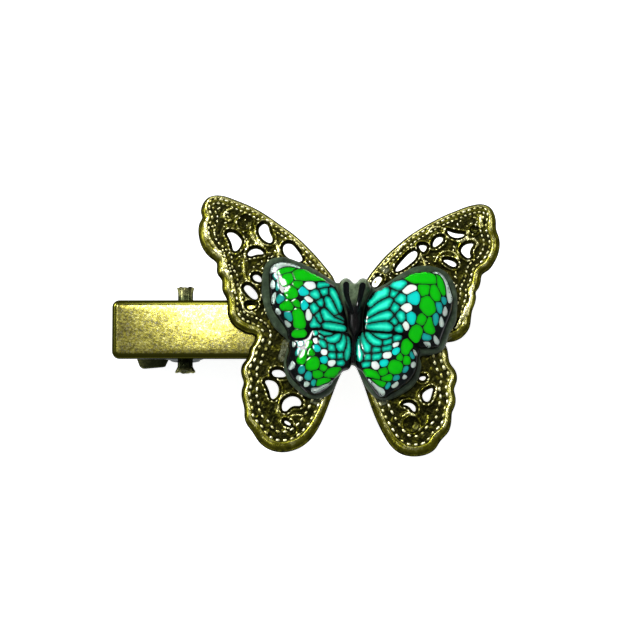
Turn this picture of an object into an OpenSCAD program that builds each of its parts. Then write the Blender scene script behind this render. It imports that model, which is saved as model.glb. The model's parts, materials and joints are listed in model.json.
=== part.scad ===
// Decorative hair clip: a hinged two-arm clip carrying a stamped butterfly
// and a handmade clay butterfly with inlaid coloured cells.
// Units are millimetres. X runs from the handle to the jaw, Y across, Z up.

/* [Clip] */
// Length of the flat top plate
plate_length = 46; // [40:0.5:52]
// Width of the flat top plate
plate_width = 9.8; // [8:0.1:12]
// Thickness of the metal sheet of both arms
sheet = 0.8; // [0.6:0.1:1.2]
// Outer diameter of the tubular hinge pin
pin_diameter = 2.55; // [2:0.05:3]
// Length of the hinge pin over its flared ends
pin_length = 14.5; // [13:0.1:16]
// Width over the handle tab of the lower arm
handle_width = 10.8; // [8:0.1:12]

/* [Spring] */
// Diameter of the spring wire
wire = 0.8; // [0.6:0.05:1]
// Number of turns of the spring around the pin
turns = 5; // [3:1:6]

/* [Butterflies] */
// Thickness of the stamped metal sheet
stamping = 0.7; // [0.5:0.05:1]
// Height of the raised rings around the openings
ring_height = 0.4; // [0.2:0.05:0.6]
// Thickness of the clay backing
backing_height = 1; // [0.6:0.1:1.6]
// Thickness of the clay wing slices
wing_height = 1.7; // [1:0.1:2.4]
// Depth of the inlaid cells
inlay_depth = 0.5; // [0.3:0.05:0.8]

/* [Hidden] */
$fn = 48;

// shift from the pin axis to the middle of the resting footprint
shift = [-20.27, -0.55, 7.45];
plate_back = -12.1;
plate_top = 4.2;
pin_r = pin_diameter / 2;
ear_r = 2.5;
filigree_low = plate_top + 0.1;
field_low = filigree_low + 0.7;
field_top = field_low + stamping;
ring_top = field_top + ring_height;
clay_low = ring_top;
backing_top = clay_low + backing_height;
wing_top = backing_top + wing_height;
// middle of the stamped butterfly and of the clay butterfly
filigree_at = [27.42, -0.12];
clay_at = [28.42, -0.54];
bronze = [0.45, 0.4, 0.2];

// closed smooth curve through the given points, n steps from point to point
function smooth(p, n) = let (m = len(p)) [
  for (i = [0 : m - 1])
    let (a = p[(i + m - 1) % m], b = p[i], c = p[(i + 1) % m], d = p[(i + 2) % m])
      for (k = [0 : n - 1])
        let (t = k / n)
          (2 * b + (c - a) * t + (2 * a - 5 * b + 4 * c - d) * t * t
            + (3 * b - a - 3 * c + d) * t * t * t) / 2
];

// signed double area, positive when the points run anticlockwise
function turning(p) = let (m = len(p), s = [
  for (i = [0 : m - 1]) p[i][0] * p[(i + 1) % m][1] - p[(i + 1) % m][0] * p[i][1]
]) s * [for (i = s) 1];

// outline moved inwards by d (outwards when d is negative)
function inset(p, d) = let (m = len(p), w = turning(p) > 0 ? 1 : -1) [
  for (i = [0 : m - 1])
    let (e = p[(i + 1) % m] - p[(i + m - 1) % m], l = max(norm(e), 0.001))
      p[i] + w * d * [-e[1], e[0]] / l
];

// outer edge of the stamped butterfly: left forewing, left hindwing,
// right hindwing, right forewing
filigree_edge = [
  [-1.8, 7.2], [-2.6, 8.7], [-3.4, 9.8], [-5.2, 12], [-6.6, 13.5], [-8, 14.9], [-9.5, 16.2],
  [-11.2, 17.4], [-13, 18.7], [-15, 20], [-17, 21], [-19, 21.8], [-20.6, 22.4], [-22.2, 22.6],
  [-23.6, 22.2], [-24.5, 21.1], [-24.8, 19.7], [-24.5, 18.8], [-25, 17.9], [-25.2, 16.6],
  [-25, 15], [-24.4, 13.5], [-23.4, 12.2], [-22.1, 11.2], [-22.1, 9.9], [-21.9, 9.1],
  [-21.2, 8.2], [-21.2, 6.8], [-20.9, 5.9], [-20.4, 5], [-20.3, 3.4], [-20.2, 2.2],
  [-19.4, 0.8], [-18.4, 0], [-17, -0.7], [-15.7, -1],
  [-15.9, -2.2], [-16.6, -3.2], [-16.7, -4.2], [-17.1, -5.1], [-17.8, -6], [-18, -7.1],
  [-17.8, -8.1], [-17.5, -9], [-17.8, -10], [-17.9, -11.2], [-17.6, -12.5], [-17.4, -13.6],
  [-17.4, -14.8], [-17, -16], [-16, -17.3], [-15, -18.9], [-13.6, -20], [-12.2, -20.5],
  [-10.8, -20.6], [-9.3, -20.3], [-7.9, -19.7], [-6.5, -18.6], [-5.4, -17.1], [-4.6, -15.6],
  [-3.9, -14], [-3.3, -12.4], [-2.7, -10.8], [-2.1, -9.2], [-1.4, -7.6], [-0.5, -6],
  [0.3, -4.6], [0.9, -5.6],
  [1.5, -7], [2, -8.3], [2.6, -9.9], [3.1, -11.4], [3.6, -12.9], [4.2, -14.5], [4.9, -16.1],
  [5.6, -17.5], [6.4, -18.9], [7.3, -20], [8.4, -20.8], [9.6, -21.2], [11, -21.3],
  [12.4, -21.1], [13.6, -20.6], [14.4, -19.9], [15, -18.9], [15.7, -18.1], [16.5, -17.2],
  [16.9, -16], [17, -14.8], [17.1, -13.9], [17.6, -12.8], [17.7, -11.5], [17.4, -10.1],
  [17.9, -8.8], [17.9, -7.6], [17.5, -6.7], [16.7, -5.6], [16.5, -4.2], [16.3, -3.2],
  [16, -2.3],
  [17.3, -2.1], [18.5, -1.6], [19.4, -0.8], [20.1, 0.3], [20.3, 1.6], [20.5, 3], [21, 4.3],
  [21.2, 5.4], [21.1, 6.2], [21.7, 7], [22, 8.1], [22.2, 9.2], [23.4, 10], [24.2, 11.1],
  [24.9, 12.5], [25.2, 14], [25.1, 15.4], [24.6, 16.8], [24.6, 18.2], [24.3, 19.5],
  [23.6, 20.6], [22.3, 21.1], [21, 21], [19.5, 20.6], [18, 20], [16.5, 19.4], [15, 18.7],
  [13.5, 17.9], [11.8, 16.9], [10, 15.7], [8.5, 14.5], [7, 13.2], [5.6, 11.8], [4.6, 10.6],
  [3.7, 9.5], [2.9, 8.3], [2.2, 7.2], [0.3, 6.8]
];

// openings of the stamped butterfly
filigree_holes = [
  [[-20.4, 16.1], [-19.3, 16.2], [-18.3, 15.4], [-17.9, 14.6], [-18.3, 13.6], [-18.8, 13.1],
    [-19.3, 13.2], [-19.5, 14.1], [-19.9, 15.1]],
  [[-14.2, 17.7], [-13.5, 17.3], [-13.3, 16.3], [-12.8, 15.3], [-12.9, 14.6], [-13.5, 14.5],
    [-14.5, 15.2], [-15, 16.1], [-15, 17]],
  [[-10.7, 14.2], [-9.6, 14.3], [-8.7, 13.3], [-7.9, 12.1], [-7.9, 11.4], [-9, 11.3],
    [-10.6, 12.3], [-11, 13.4]],
  [[-16.9, 12.4], [-16.6, 13.1], [-15.7, 13.5], [-14.8, 13.3], [-14.2, 12.6], [-15.4, 12.5],
    [-16.3, 12.2]],
  [[-16, 8.9], [-15.3, 9.1], [-14.7, 8.6], [-14.6, 7.9], [-15.3, 7.9], [-15.9, 8.3]],
  [[-17.5, 6.7], [-17.2, 7.3], [-16.5, 7.2], [-15.6, 6.3], [-15.2, 5.5], [-15.4, 4.9],
    [-16, 5], [-16.8, 5.7]],
  [[-16.9, 4.3], [-15.5, 4.2], [-15.7, 3.6], [-16.4, 3.3], [-16.9, 3.4]],
  [[-12.8, -7.2], [-12.2, -6.9], [-11.2, -7], [-10.5, -7.8], [-10.9, -8.1], [-12.2, -8.1],
    [-12.7, -7.7]],
  [[-14, -8.8], [-13.2, -8.6], [-12.2, -9], [-11.7, -10], [-11.9, -11.2], [-12.6, -11.8],
    [-13, -11.5], [-13.2, -10.6], [-13.6, -9.6]],
  [[-11.1, -13.5], [-11.1, -12.6], [-10.6, -11.8], [-9.6, -11.3], [-8.6, -11.5],
    [-8, -12.2], [-8.1, -12.9], [-9.1, -12.9], [-9.8, -13.2], [-10.3, -13.7], [-10.8, -13.8]],
  [[-10.8, -15.5], [-10.4, -15.4], [-9.7, -15.9], [-9.8, -16.2], [-10.4, -16]],
  [[14, 13.9], [14.2, 14.8], [14.8, 15.4], [15.6, 15.4], [15.6, 14.8], [15, 14.2], [14.4, 13.8]],
  [[16.4, 16.5], [17.3, 16.2], [18.3, 16], [19.3, 15.9], [18.9, 15.5], [18, 15.3],
    [17.2, 15.5], [16.7, 15.9]],
  [[7.9, 9.6], [7.9, 10.2], [9, 11.6], [10.2, 12.8], [11.1, 13.1], [11.4, 12.6], [11, 11.7],
    [10, 10.8], [8.9, 10]],
  [[3.9, 7.1], [3.9, 7.8], [4.4, 8.5], [5, 8.8], [5.5, 8.5], [5.2, 7.8], [4.5, 7]],
  [[18.7, 13], [19, 13.8], [19.8, 14.3], [20.8, 14.3], [20.3, 13.5], [20.1, 12.7], [20.3, 12.1],
    [19.8, 11.9], [19.2, 12.3]],
  [[15.7, 11.5], [16.6, 11.6], [17.6, 11.2], [17.9, 10.7], [17.5, 10.4], [16.9, 10.6],
    [16.3, 11]],
  [[11.6, 14], [12.9, 14], [12.8, 13.3], [12.3, 12.9]],
  [[12.1, -11.2], [12.7, -10.4], [13.9, -9.9], [13.7, -10.8], [13.5, -11.6], [13.1, -12.2],
    [12.5, -12.1]],
  [[8.9, -12.7], [9.6, -12.4], [10.4, -12.5], [11, -13.1], [10.9, -13.9], [10.5, -13.7],
    [10, -13.1], [9.4, -12.8]],
  [[11.6, -8.4], [12, -8], [12.7, -8], [12.6, -8.5], [12.1, -8.7]]
];

// outer edge of the clay butterfly
clay_edge = [
  [-3, 7.9], [-2.3, 8.2], [-1.4, 8.3], [-0.7, 8.1], [-0.1, 7.75], [0.5, 8.05], [1.2, 8.3],
  [1.9, 8.1], [2.6, 7.5], [3.3, 6.9], [4.2, 7.4], [5.4, 8], [7.3, 9.3], [9.7, 10.6],
  [12.2, 10.9], [14.6, 10.2], [16, 8.8], [16.9, 6.6], [17, 3.6], [16.7, 1.1], [15.6, -0.6],
  [15, -2.7], [13.9, -3.8], [12, -4.2], [10.6, -4.4], [11, -5.5], [10.7, -7.4], [9.7, -9.3],
  [7.6, -10.8], [5.4, -11.7], [3.7, -11.5], [2.2, -10.2], [1.2, -8.5], [0.5, -7],
  [-0.1, -5.9], [-1, -6], [-2.2, -7], [-2.9, -8.5], [-3.9, -10.4], [-5.6, -11.4],
  [-7.6, -11.4], [-9.5, -10.2], [-11, -8.7], [-11.8, -6.6], [-11.8, -5.1], [-11.3, -3.2],
  [-11, -1.9], [-12.2, -0.8], [-13.5, 0.5], [-14.6, 2.4], [-15.2, 4.5], [-15.4, 6.6],
  [-15, 9.2], [-14.6, 10.9], [-13.7, 11.7], [-12, 12.05], [-9.5, 11.4], [-7.3, 10.5],
  [-4.9, 9.1]
];

// outlines of the four wing slices
left_fore = [
  [-1.5, 0], [-1.5, 1.4], [-2.1, 3.4], [-2.7, 5.2], [-3.7, 7], [-4.7, 8.3], [-6.4, 9.2],
  [-8.6, 10.4], [-10.5, 11.1], [-12.2, 11.4], [-13.6, 11.1], [-14.3, 10.2], [-14.4, 8.5],
  [-14.3, 6.5], [-14.1, 4.4], [-13.6, 3], [-12.8, 1.8], [-11.6, 0.1], [-10.9, -1.1],
  [-10.5, -1.6], [-9.4, -1.6], [-8.2, -1.4], [-7.6, -0.4], [-6.3, 0.1], [-4.9, -0.25],
  [-3.3, -0.5], [-1.6, -0.6]
];
right_fore = [
  [1.5, 0.1], [1.5, 1.9], [2, 4.2], [3.2, 5.7], [4.6, 7], [6.2, 8.1], [7.6, 8.5], [9, 9.3],
  [10.6, 9.7], [12.4, 9.75], [13.9, 9.7], [14.9, 8.9], [15.7, 7.5], [16.2, 5.8], [16.3, 4.4],
  [15.9, 2.4], [15, 0.2], [14.3, -1.6], [13.9, -2.9], [12.6, -3.3], [11.2, -2.8],
  [10.1, -2.6], [9.3, -2], [8.2, -0.9], [6.2, -0.7], [3, -0.45], [1.7, -0.25]
];
left_hind = [
  [-0.95, -0.85], [-3.2, -0.7], [-4.8, -0.45], [-6.2, -0.1], [-7.3, -0.45], [-8, -1.6],
  [-9.4, -1.85], [-10.5, -1.95], [-11, -3.4], [-11.5, -5], [-11.3, -6.7], [-10.6, -8.1],
  [-9.4, -9.4], [-7.9, -10.7], [-6.6, -11], [-5.4, -10.5], [-4.2, -9.6], [-3.2, -8.2],
  [-2.1, -7], [-1, -6], [-0.85, -5.2], [-0.65, -4], [-0.65, -2.2]
];
right_hind = [
  [0.95, -0.35], [3, -0.6], [6.2, -0.85], [8, -1.1], [9.1, -2.1], [10, -2.9], [10.5, -4.2],
  [10.4, -6], [9.9, -7.6], [8.7, -9], [7.2, -10.1], [5.8, -10.9], [5.1, -11.4], [4.1, -11.4],
  [3.1, -10.4], [2.1, -9], [1.3, -7.5], [0.6, -6.3], [0.25, -5.2], [0.1, -3.2], [0.3, -1.6]
];

// coloured cells: petals and small cells of the turquoise fans
right_fan = [
  [[5.9, 7.2], [6.4, 7.6], [7.3, 8], [8, 8], [8.5, 7.6], [8.4, 7.1], [7.8, 6.5], [7, 6.3],
    [6.2, 6.8]],
  [[2.2, 4.2], [3, 4.9], [3.9, 5.9], [4.8, 6.6], [5.5, 6.8], [5.7, 6.4], [5.5, 5.7],
    [4.9, 5.2], [3.6, 4.5], [2.5, 3.7]],
  [[2.1, 2.2], [2.7, 3.3], [3.6, 4.1], [4.7, 4.8], [5.8, 5], [6.1, 4.6], [5.7, 3.7],
    [5, 3.1], [3.8, 2.8], [2.6, 2.2], [1.9, 1.75]],
  [[1.7, 1.4], [2.8, 1.9], [4, 2.5], [5.2, 2.9], [6, 2.6], [6.2, 2.1], [5.6, 1.5],
    [4.3, 1.3], [2.8, 1.1], [1.8, 1]],
  [[1.7, 0.5], [2.6, 0.8], [4, 1.05], [5.3, 1], [6, 0.7], [6.2, 0.2], [5.9, -0.2],
    [5, -0.4], [3.6, -0.3], [2.2, 0]],
  [[6, 6.5], [6.5, 6.35], [7.2, 6.1], [6.7, 5.4], [6.3, 5.2], [5.8, 5.5]],
  [[6.9, 5.4], [7.4, 5.8], [8.2, 5.6], [8.4, 5.2], [8.3, 4.3], [7.6, 4], [7, 4.3], [6.6, 4.8]],
  [[6.4, 4.2], [7, 3.9], [7.3, 3.5], [6.9, 2.9], [6.5, 2.5], [5.9, 3.2]],
  [[7, 2.5], [7.5, 2.9], [8.1, 2.7], [8.3, 2.1], [8.2, 1.4], [7.7, 1], [7.2, 1.2], [6.8, 1.9]],
  [[6.5, 1.8], [7, 1.2], [6.7, 0.6], [6.4, 0.6], [5.8, 1.1]],
  [[6.6, 0.1], [7.3, 0.6], [7.6, 0.5], [7.9, -0.1], [7.7, -0.6], [7.3, -0.6], [6.8, -0.3]],
  [[2.7, -0.7], [4, -0.8], [5.2, -0.9], [6.1, -1], [5.9, -1.4], [5.2, -1.7], [4.4, -1.75],
    [3.6, -1.4]],
  [[1.8, -0.5], [2.3, -0.6], [2.9, -1.2], [3.6, -1.7], [4.3, -2], [4.4, -2.5], [4.1, -2.9],
    [3.4, -2.9], [2.6, -2.5], [1.9, -1.7], [1.6, -0.9]],
  [[1.25, -0.6], [1.5, -1.4], [1.9, -2.2], [2.5, -2.9], [2.5, -3.6], [2.2, -4], [1.7, -3.9],
    [1.2, -3.3], [0.95, -2.4], [0.95, -1.4]],
  [[0.65, -1.2], [0.8, -2.4], [1, -3.4], [1.3, -4.2], [1.2, -5], [0.95, -5.4], [0.6, -5.3],
    [0.45, -4.4], [0.3, -3.2], [0.4, -2]],
  [[4.6, -2.1], [5.3, -1.95], [6, -1.6], [6, -2.4], [5.2, -2.7], [4.6, -2.8]],
  [[4.6, -3.1], [5.3, -3], [6, -2.75], [6, -3.5], [5.5, -3.8], [4.6, -3.9], [4.4, -3.5]],
  [[6.3, -1.4], [6.9, -1.3], [7.5, -1.4], [7.3, -1.9], [6.9, -2.15], [6.3, -2.2]],
  [[2.9, -3.2], [4, -3.2], [4.2, -3.5], [4, -3.95], [2.9, -4], [2.8, -3.6]],
  [[2.9, -4.3], [4.3, -4.2], [4.3, -4.7], [3.9, -5.1], [3.4, -5.3], [2.9, -5.3], [2.75, -4.9]],
  [[1.6, -4.3], [2.5, -4.4], [2.5, -5.2], [1.6, -5.2], [1.5, -4.7]],
  [[1.2, -5.7], [2.4, -5.6], [2.4, -6.2], [1.4, -6.3], [1.2, -6]]
];
left_fan = [
  [[-6.4, 7.2], [-6, 7.7], [-5.2, 7.8], [-4.5, 7.6], [-4.4, 7.1], [-5.4, 6.9], [-6.1, 6.7]],
  [[-5.9, 6.5], [-5.3, 6.7], [-4.6, 6.8], [-4.6, 5.8], [-5.4, 5.5], [-5.8, 6]],
  [[-7.5, 5.9], [-6.9, 6.4], [-6.2, 6.4], [-5.8, 5.6], [-5.9, 5], [-6.5, 4.8], [-7, 5],
    [-7.5, 5.4]],
  [[-6.4, 4.4], [-5.8, 4.9], [-5.4, 4.9], [-5.3, 4.2], [-5.6, 3.7], [-6, 3.8]],
  [[-7.5, 3.7], [-6.9, 4.2], [-6.5, 4], [-6.1, 3.3], [-6.3, 2.9], [-6.9, 2.4], [-7.3, 2.8]],
  [[-6.6, 2.1], [-6, 2.7], [-5.7, 2.3], [-5.5, 1.3], [-5.8, 0.95], [-6.2, 1.2]],
  [[-7.3, 0.7], [-6.9, 2], [-6.6, 1.7], [-6.2, 0.9], [-5.8, 0.3], [-6.4, 0.3], [-7.1, 0.3]],
  [[-4.2, 6.7], [-3.9, 6.8], [-3.3, 5.8], [-2.8, 4.8], [-2.4, 3.7], [-2.35, 3], [-2.6, 2.5],
    [-3, 3.4], [-3.7, 4.9], [-4.2, 5.9]],
  [[-5.1, 4.7], [-4.8, 5.2], [-4.2, 5.2], [-3.8, 4.6], [-3.2, 3.4], [-2.8, 2.5], [-3.3, 2.2],
    [-3.9, 2.6], [-4.6, 3.6]],
  [[-5.7, 2.7], [-5.3, 3.1], [-4.8, 3], [-4.2, 2.4], [-3.6, 1.9], [-2.6, 1.5], [-1.8, 1],
    [-2.7, 1], [-4.4, 1.2], [-5.2, 1.4], [-5.6, 2]],
  [[-3.4, 2], [-2.8, 2.3], [-2.3, 1.9], [-1.8, 1.4], [-2.6, 1.7]],
  [[-5.4, 0.6], [-5, 0.9], [-4.2, 1], [-3, 0.8], [-2, 0.5], [-1.7, 0.1], [-1.8, -0.4],
    [-3, -0.35], [-4.4, -0.15], [-5.2, 0.1]],
  [[-6, -0.4], [-5, -0.6], [-4, -0.75], [-3.6, -0.9], [-4.2, -1.15], [-5.2, -1.15],
    [-5.7, -0.8]],
  [[-3.3, -1], [-2.4, -0.9], [-2.4, -1.4], [-2.7, -2], [-3.4, -2.4], [-4.2, -2.4],
    [-4.8, -1.9], [-4.9, -1.45], [-4.2, -1.35]],
  [[-2.1, -1], [-1.7, -1.2], [-1.5, -2.2], [-1.7, -3], [-2, -3.7], [-2.6, -3.8],
    [-3.1, -3.2], [-3.2, -2.7], [-2.6, -2.3], [-2.2, -1.6]],
  [[-1.4, -1.2], [-1.1, -1.5], [-0.9, -2.4], [-0.9, -3.6], [-1.2, -4.8], [-1.5, -5.2],
    [-1.8, -4.9], [-1.7, -4], [-1.35, -3], [-1.3, -2]],
  [[-6.9, -0.5], [-6.4, -0.4], [-6.25, -0.9], [-6.6, -1.2]],
  [[-6, -1.1], [-5.6, -1.2], [-5.1, -1.8], [-5.7, -1.65]],
  [[-6, -2], [-5.6, -1.9], [-5.1, -2.2], [-4.8, -2.8], [-4.7, -3.2], [-5.1, -3.35],
    [-5.6, -3], [-5.9, -2.5]],
  [[-4.5, -2.6], [-3.7, -2.7], [-3.4, -3.1], [-3.3, -3.8], [-4.3, -3.8], [-4.5, -3.3]],
  [[-4.4, -4.1], [-3.3, -4.05], [-3.3, -5], [-4, -5.1], [-4.5, -4.6]],
  [[-3, -4.2], [-2.1, -4.1], [-2, -4.9], [-2.9, -5]],
  [[-3, -5.5], [-2.1, -5.3], [-1.9, -5.7], [-2.2, -6], [-3, -6]]
];

// green cells
right_green = [
  [[8.2, 8.5], [9.2, 8.9], [9.9, 9.3], [10.8, 9.4], [12, 9.3], [12.9, 9.1], [13.4, 8.5],
    [13.4, 7.6], [12.4, 7.5], [11.2, 7.5], [10.2, 7.8], [9, 8.2]],
  [[13.5, 9], [14, 8.9], [14.6, 8], [14.9, 6.6], [14.9, 5.7], [14.6, 5.5], [14.2, 6],
    [13.7, 7], [13.6, 8]],
  [[10.6, 7.2], [11.6, 7.3], [12.3, 7.2], [12.2, 6.3], [12, 5.7], [11, 5.3], [10.6, 6.4]],
  [[12.6, 7.2], [13.3, 7.3], [13.9, 6.3], [14.1, 5.6], [14, 4.7], [13.3, 4.6], [12.6, 5.2],
    [12.4, 6]],
  [[11, 5], [11.9, 5.4], [12.3, 5.2], [12.8, 4.5], [13.2, 3.6], [13.2, 2.9], [12.4, 2.1],
    [11.9, 2], [11.2, 2.6], [10.9, 3.9]],
  [[10.1, 1], [10.5, 1.8], [11, 2.5], [11.7, 1.9], [11.8, 1.5], [11.4, 0.6], [11, 0.5]],
  [[11.3, 0.1], [11.8, 1.2], [12.1, 1.9], [12.6, 1.8], [13, 0.2], [12.9, -0.6], [12.5, -0.9],
    [11.8, -0.7]],
  [[9.6, 0.1], [10.1, 0.5], [10.6, 0.4], [11, -0.1], [11, -0.7], [10.7, -1.5], [9.9, -2.2],
    [9.5, -2], [9.1, -1.4], [9.3, -0.6]],
  [[8.6, -1.9], [9.3, -2.5], [9.2, -3.2], [8.8, -4.2], [8.2, -4.4], [7.7, -4], [7.6, -3.4],
    [8.1, -2.4]],
  [[7.4, -4.2], [7.8, -4.8], [7.7, -5.5], [7.2, -5.3], [6.8, -5.1], [7.1, -4.6]],
  [[8.1, -4.7], [8.8, -4.7], [9, -5.2], [9, -5.9], [8.5, -6.1], [8, -6], [7.9, -5.3]],
  [[5.8, -5.7], [6.6, -5.4], [7.4, -5.6], [7.8, -6.2], [7.6, -7.1], [7.2, -7.5], [6.4, -7.6],
    [5.7, -7.3], [5.4, -6.6]],
  [[3.9, -7.1], [4.6, -6.8], [5.1, -6.6], [5.3, -7.3], [5, -7.7], [4.4, -7.9], [4, -7.6]],
  [[4.3, -8.2], [5.1, -7.9], [5.8, -7.7], [6.1, -8], [5.9, -8.6], [5.3, -8.7], [4.4, -8.6]],
  [[1.5, -7], [2.6, -7.1], [3.5, -7.3], [4, -8], [4, -8.5], [3.1, -8.3], [2.1, -7.8]],
  [[2.7, -8.4], [3.6, -8.6], [4.6, -8.9], [5.1, -9], [4.7, -9.7], [4, -9.5], [3.1, -8.8]]
];
left_green = [
  [[-4.9, 8.1], [-5.6, 8.6], [-7, 9.1], [-8.4, 9.8], [-9.5, 9.9], [-10.3, 9.5], [-10.2, 8.9],
    [-9.8, 8.1], [-8.9, 8], [-7.6, 8.2], [-6.2, 8.15]],
  [[-9.9, 10.1], [-11.2, 10.3], [-12.4, 9.9], [-13, 9.4], [-12.7, 9], [-12.2, 9.2],
    [-11, 9.5], [-10.5, 9.7]],
  [[-10.6, 9.2], [-11.6, 9.1], [-12.5, 8.5], [-12.5, 7.5], [-11.6, 7.2], [-10.7, 7.6],
    [-10.3, 8.3]],
  [[-10.3, 7.4], [-9.9, 7.9], [-8.7, 7.8], [-8.8, 7.4], [-9.5, 6.7], [-10, 7]],
  [[-10.7, 7], [-10, 6.6], [-9.6, 6], [-9.8, 5.2], [-10.4, 4.9], [-11.2, 5], [-11.6, 5.7],
    [-11.4, 6.4]],
  [[-9.9, 4.8], [-9.4, 4.2], [-9.1, 3.5], [-9.5, 3.5], [-10, 3.8], [-10.6, 4.5]],
  [[-11.4, 4.7], [-10.9, 4.5], [-10.3, 3.6], [-10.6, 3.1], [-11.2, 3], [-12, 3.1],
    [-12.4, 3.8], [-12, 4.3]],
  [[-9.9, 3.2], [-9.3, 3.2], [-8.9, 2.6], [-8.6, 1.4], [-8.4, 0.1], [-8.8, 0], [-9.9, 0.1],
    [-10.1, 1.2], [-10.3, 2.6]],
  [[-9.9, -0.2], [-9.2, -0.3], [-8.5, -0.2], [-8.3, -0.8], [-8.5, -1.3], [-9.2, -1.4],
    [-10, -1.4], [-10.2, -0.9]],
  [[-7.6, -2.2], [-7.3, -2.4], [-7.5, -3], [-7.9, -3.3], [-8.2, -3.1], [-8, -2.6]],
  [[-7.3, -3.4], [-7.1, -3.6], [-6.9, -4], [-6.8, -4.5], [-7.5, -4.6], [-7.9, -4.7],
    [-7.8, -4]],
  [[-8.8, -3.8], [-8.5, -3.6], [-8.1, -3.9], [-8.1, -4.8], [-8.3, -5.6], [-8.7, -6],
    [-9.2, -5.9], [-9.5, -5.4], [-9.3, -4.5]],
  [[-8, -5.3], [-7.4, -4.9], [-6.6, -4.8], [-6, -5.5], [-6, -6.3], [-6.4, -6.8],
    [-7.6, -7], [-8.1, -6.7], [-8.1, -6]],
  [[-5.8, -6.2], [-5.4, -6.1], [-4.7, -6.6], [-5, -7], [-5.3, -7.1], [-5.8, -6.8]],
  [[-6.9, -7.2], [-6.2, -7.1], [-5.5, -7.4], [-5.4, -7.9], [-6, -8.2], [-6.8, -8.2],
    [-7, -7.8]],
  [[-4.5, -6.9], [-3.6, -6.8], [-2.5, -6.7], [-2.9, -7.3], [-3.6, -8], [-4.4, -8.1],
    [-5.1, -7.9], [-4.9, -7.5]],
  [[-6.2, -8.6], [-5.2, -8.4], [-4, -8.4], [-4.5, -8.9], [-5.4, -9.2], [-6.3, -9.6],
    [-6.4, -9.2]]
];

// bright turquoise cells
right_turquoise = [
  [[8.7, 5.4], [9.4, 5.9], [10.2, 6.1], [10.6, 5.5], [10.6, 4.7], [10.2, 4.15], [9.5, 4.05],
    [8.75, 4.4]],
  [[8.5, 2.3], [9, 2.6], [9.3, 2.7], [9.8, 2], [9.9, 1.5], [9.7, 0.8], [9.2, 0.7], [8.7, 1.3]],
  [[6.3, -3.5], [6.8, -3.3], [7.3, -3.4], [7.2, -4], [6.8, -4.3], [6.3, -4.3], [6.1, -4]],
  [[4.2, -5.6], [4.7, -5.3], [5.2, -5.3], [5.4, -5.7], [5.1, -6.2], [4.4, -6.3], [4.1, -5.9]]
];
left_turquoise = [
  [[-9.3, 6.2], [-8.8, 6.9], [-8.4, 6.7], [-7.8, 6.2], [-7.8, 5.7], [-8.4, 5.5], [-9, 5.7]],
  [[-8.9, 4.1], [-8.4, 4.7], [-8.1, 4.2], [-7.8, 3.8], [-8.1, 3.3], [-8.6, 3.1], [-8.9, 3.5]],
  [[-6.9, -3], [-6.4, -2.8], [-6.1, -3], [-5.8, -3.5], [-6, -3.8], [-6.6, -3.8], [-6.9, -3.4]],
  [[-5.7, -5.1], [-5.3, -4.8], [-4.8, -4.8], [-4.6, -5.2], [-4.8, -5.7], [-5.3, -5.8],
    [-5.7, -5.5]]
];

// dark teal cells
right_teal = [
  [[14.3, 5.2], [14.6, 5.3], [15, 5.1], [15, 4.5], [14.8, 4.1], [14.4, 4.5]],
  [[13.4, 4.3], [14.1, 4.3], [14.2, 3.6], [14.3, 2.9], [14.1, 2.5], [13.6, 3.1], [13.4, 3.7]],
  [[12.9, 2.1], [13.4, 2.5], [13.6, 1.9], [13.6, 1.1], [13.2, 0.4], [13, 0.6], [12.8, 1.3]],
  [[11.3, -0.9], [11.8, -1], [12.4, -1.2], [12.4, -1.7], [12, -1.9], [11.3, -1.8],
    [11.1, -1.4]],
  [[9.2, -3.8], [9.5, -4.3], [9.8, -4.7], [9.5, -5], [9.1, -4.6], [9, -4.2]],
  [[8.1, -6.4], [8.7, -6.2], [8.6, -6.7], [8.2, -7.2], [7.8, -7.3], [7.9, -6.8]],
  [[6.5, -7.9], [7.1, -7.8], [7.2, -8.2], [6.8, -8.6], [6.2, -8.6], [6.3, -8.2]],
  [[5.3, -9.1], [5.7, -9], [5.6, -9.5], [5.2, -10], [4.9, -9.9], [5, -9.5]]
];
left_teal = [
  [[-13.5, 9], [-13.2, 9.3], [-12.9, 8.9], [-13, 8.3], [-13.3, 8.3]],
  [[-12.9, 7.8], [-12.7, 7], [-12.9, 6.4], [-13.1, 6.6], [-13.1, 7.2]],
  [[-12.4, 5.6], [-11.9, 5.2], [-11.8, 4.8], [-12.1, 4.5], [-12.7, 4.3], [-13, 4.7],
    [-12.9, 5.1]],
  [[-11.7, 2.7], [-10.8, 2.7], [-10.5, 1.8], [-10.5, 1.3], [-10.9, 1.3], [-11.4, 1.9]],
  [[-9.6, -2.3], [-8.7, -2.2], [-8.6, -2.7], [-9.3, -2.9]],
  [[-9.5, -3.5], [-9.1, -3.4], [-9.3, -4.1], [-9.7, -4.6], [-9.8, -4.2]],
  [[-9, -6.3], [-8.5, -6.2], [-8.4, -6.9], [-8.6, -7.3], [-9.1, -7.4], [-9.3, -7]],
  [[-7.9, -7.3], [-7.4, -7.3], [-7.2, -7.9], [-7.5, -8.5], [-8.1, -8.6], [-8.3, -8.2]],
  [[-7, -8.7], [-6.5, -8.6], [-6.6, -9.1], [-6.8, -9.5], [-7.2, -9.3], [-7.2, -9]]
];

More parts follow.
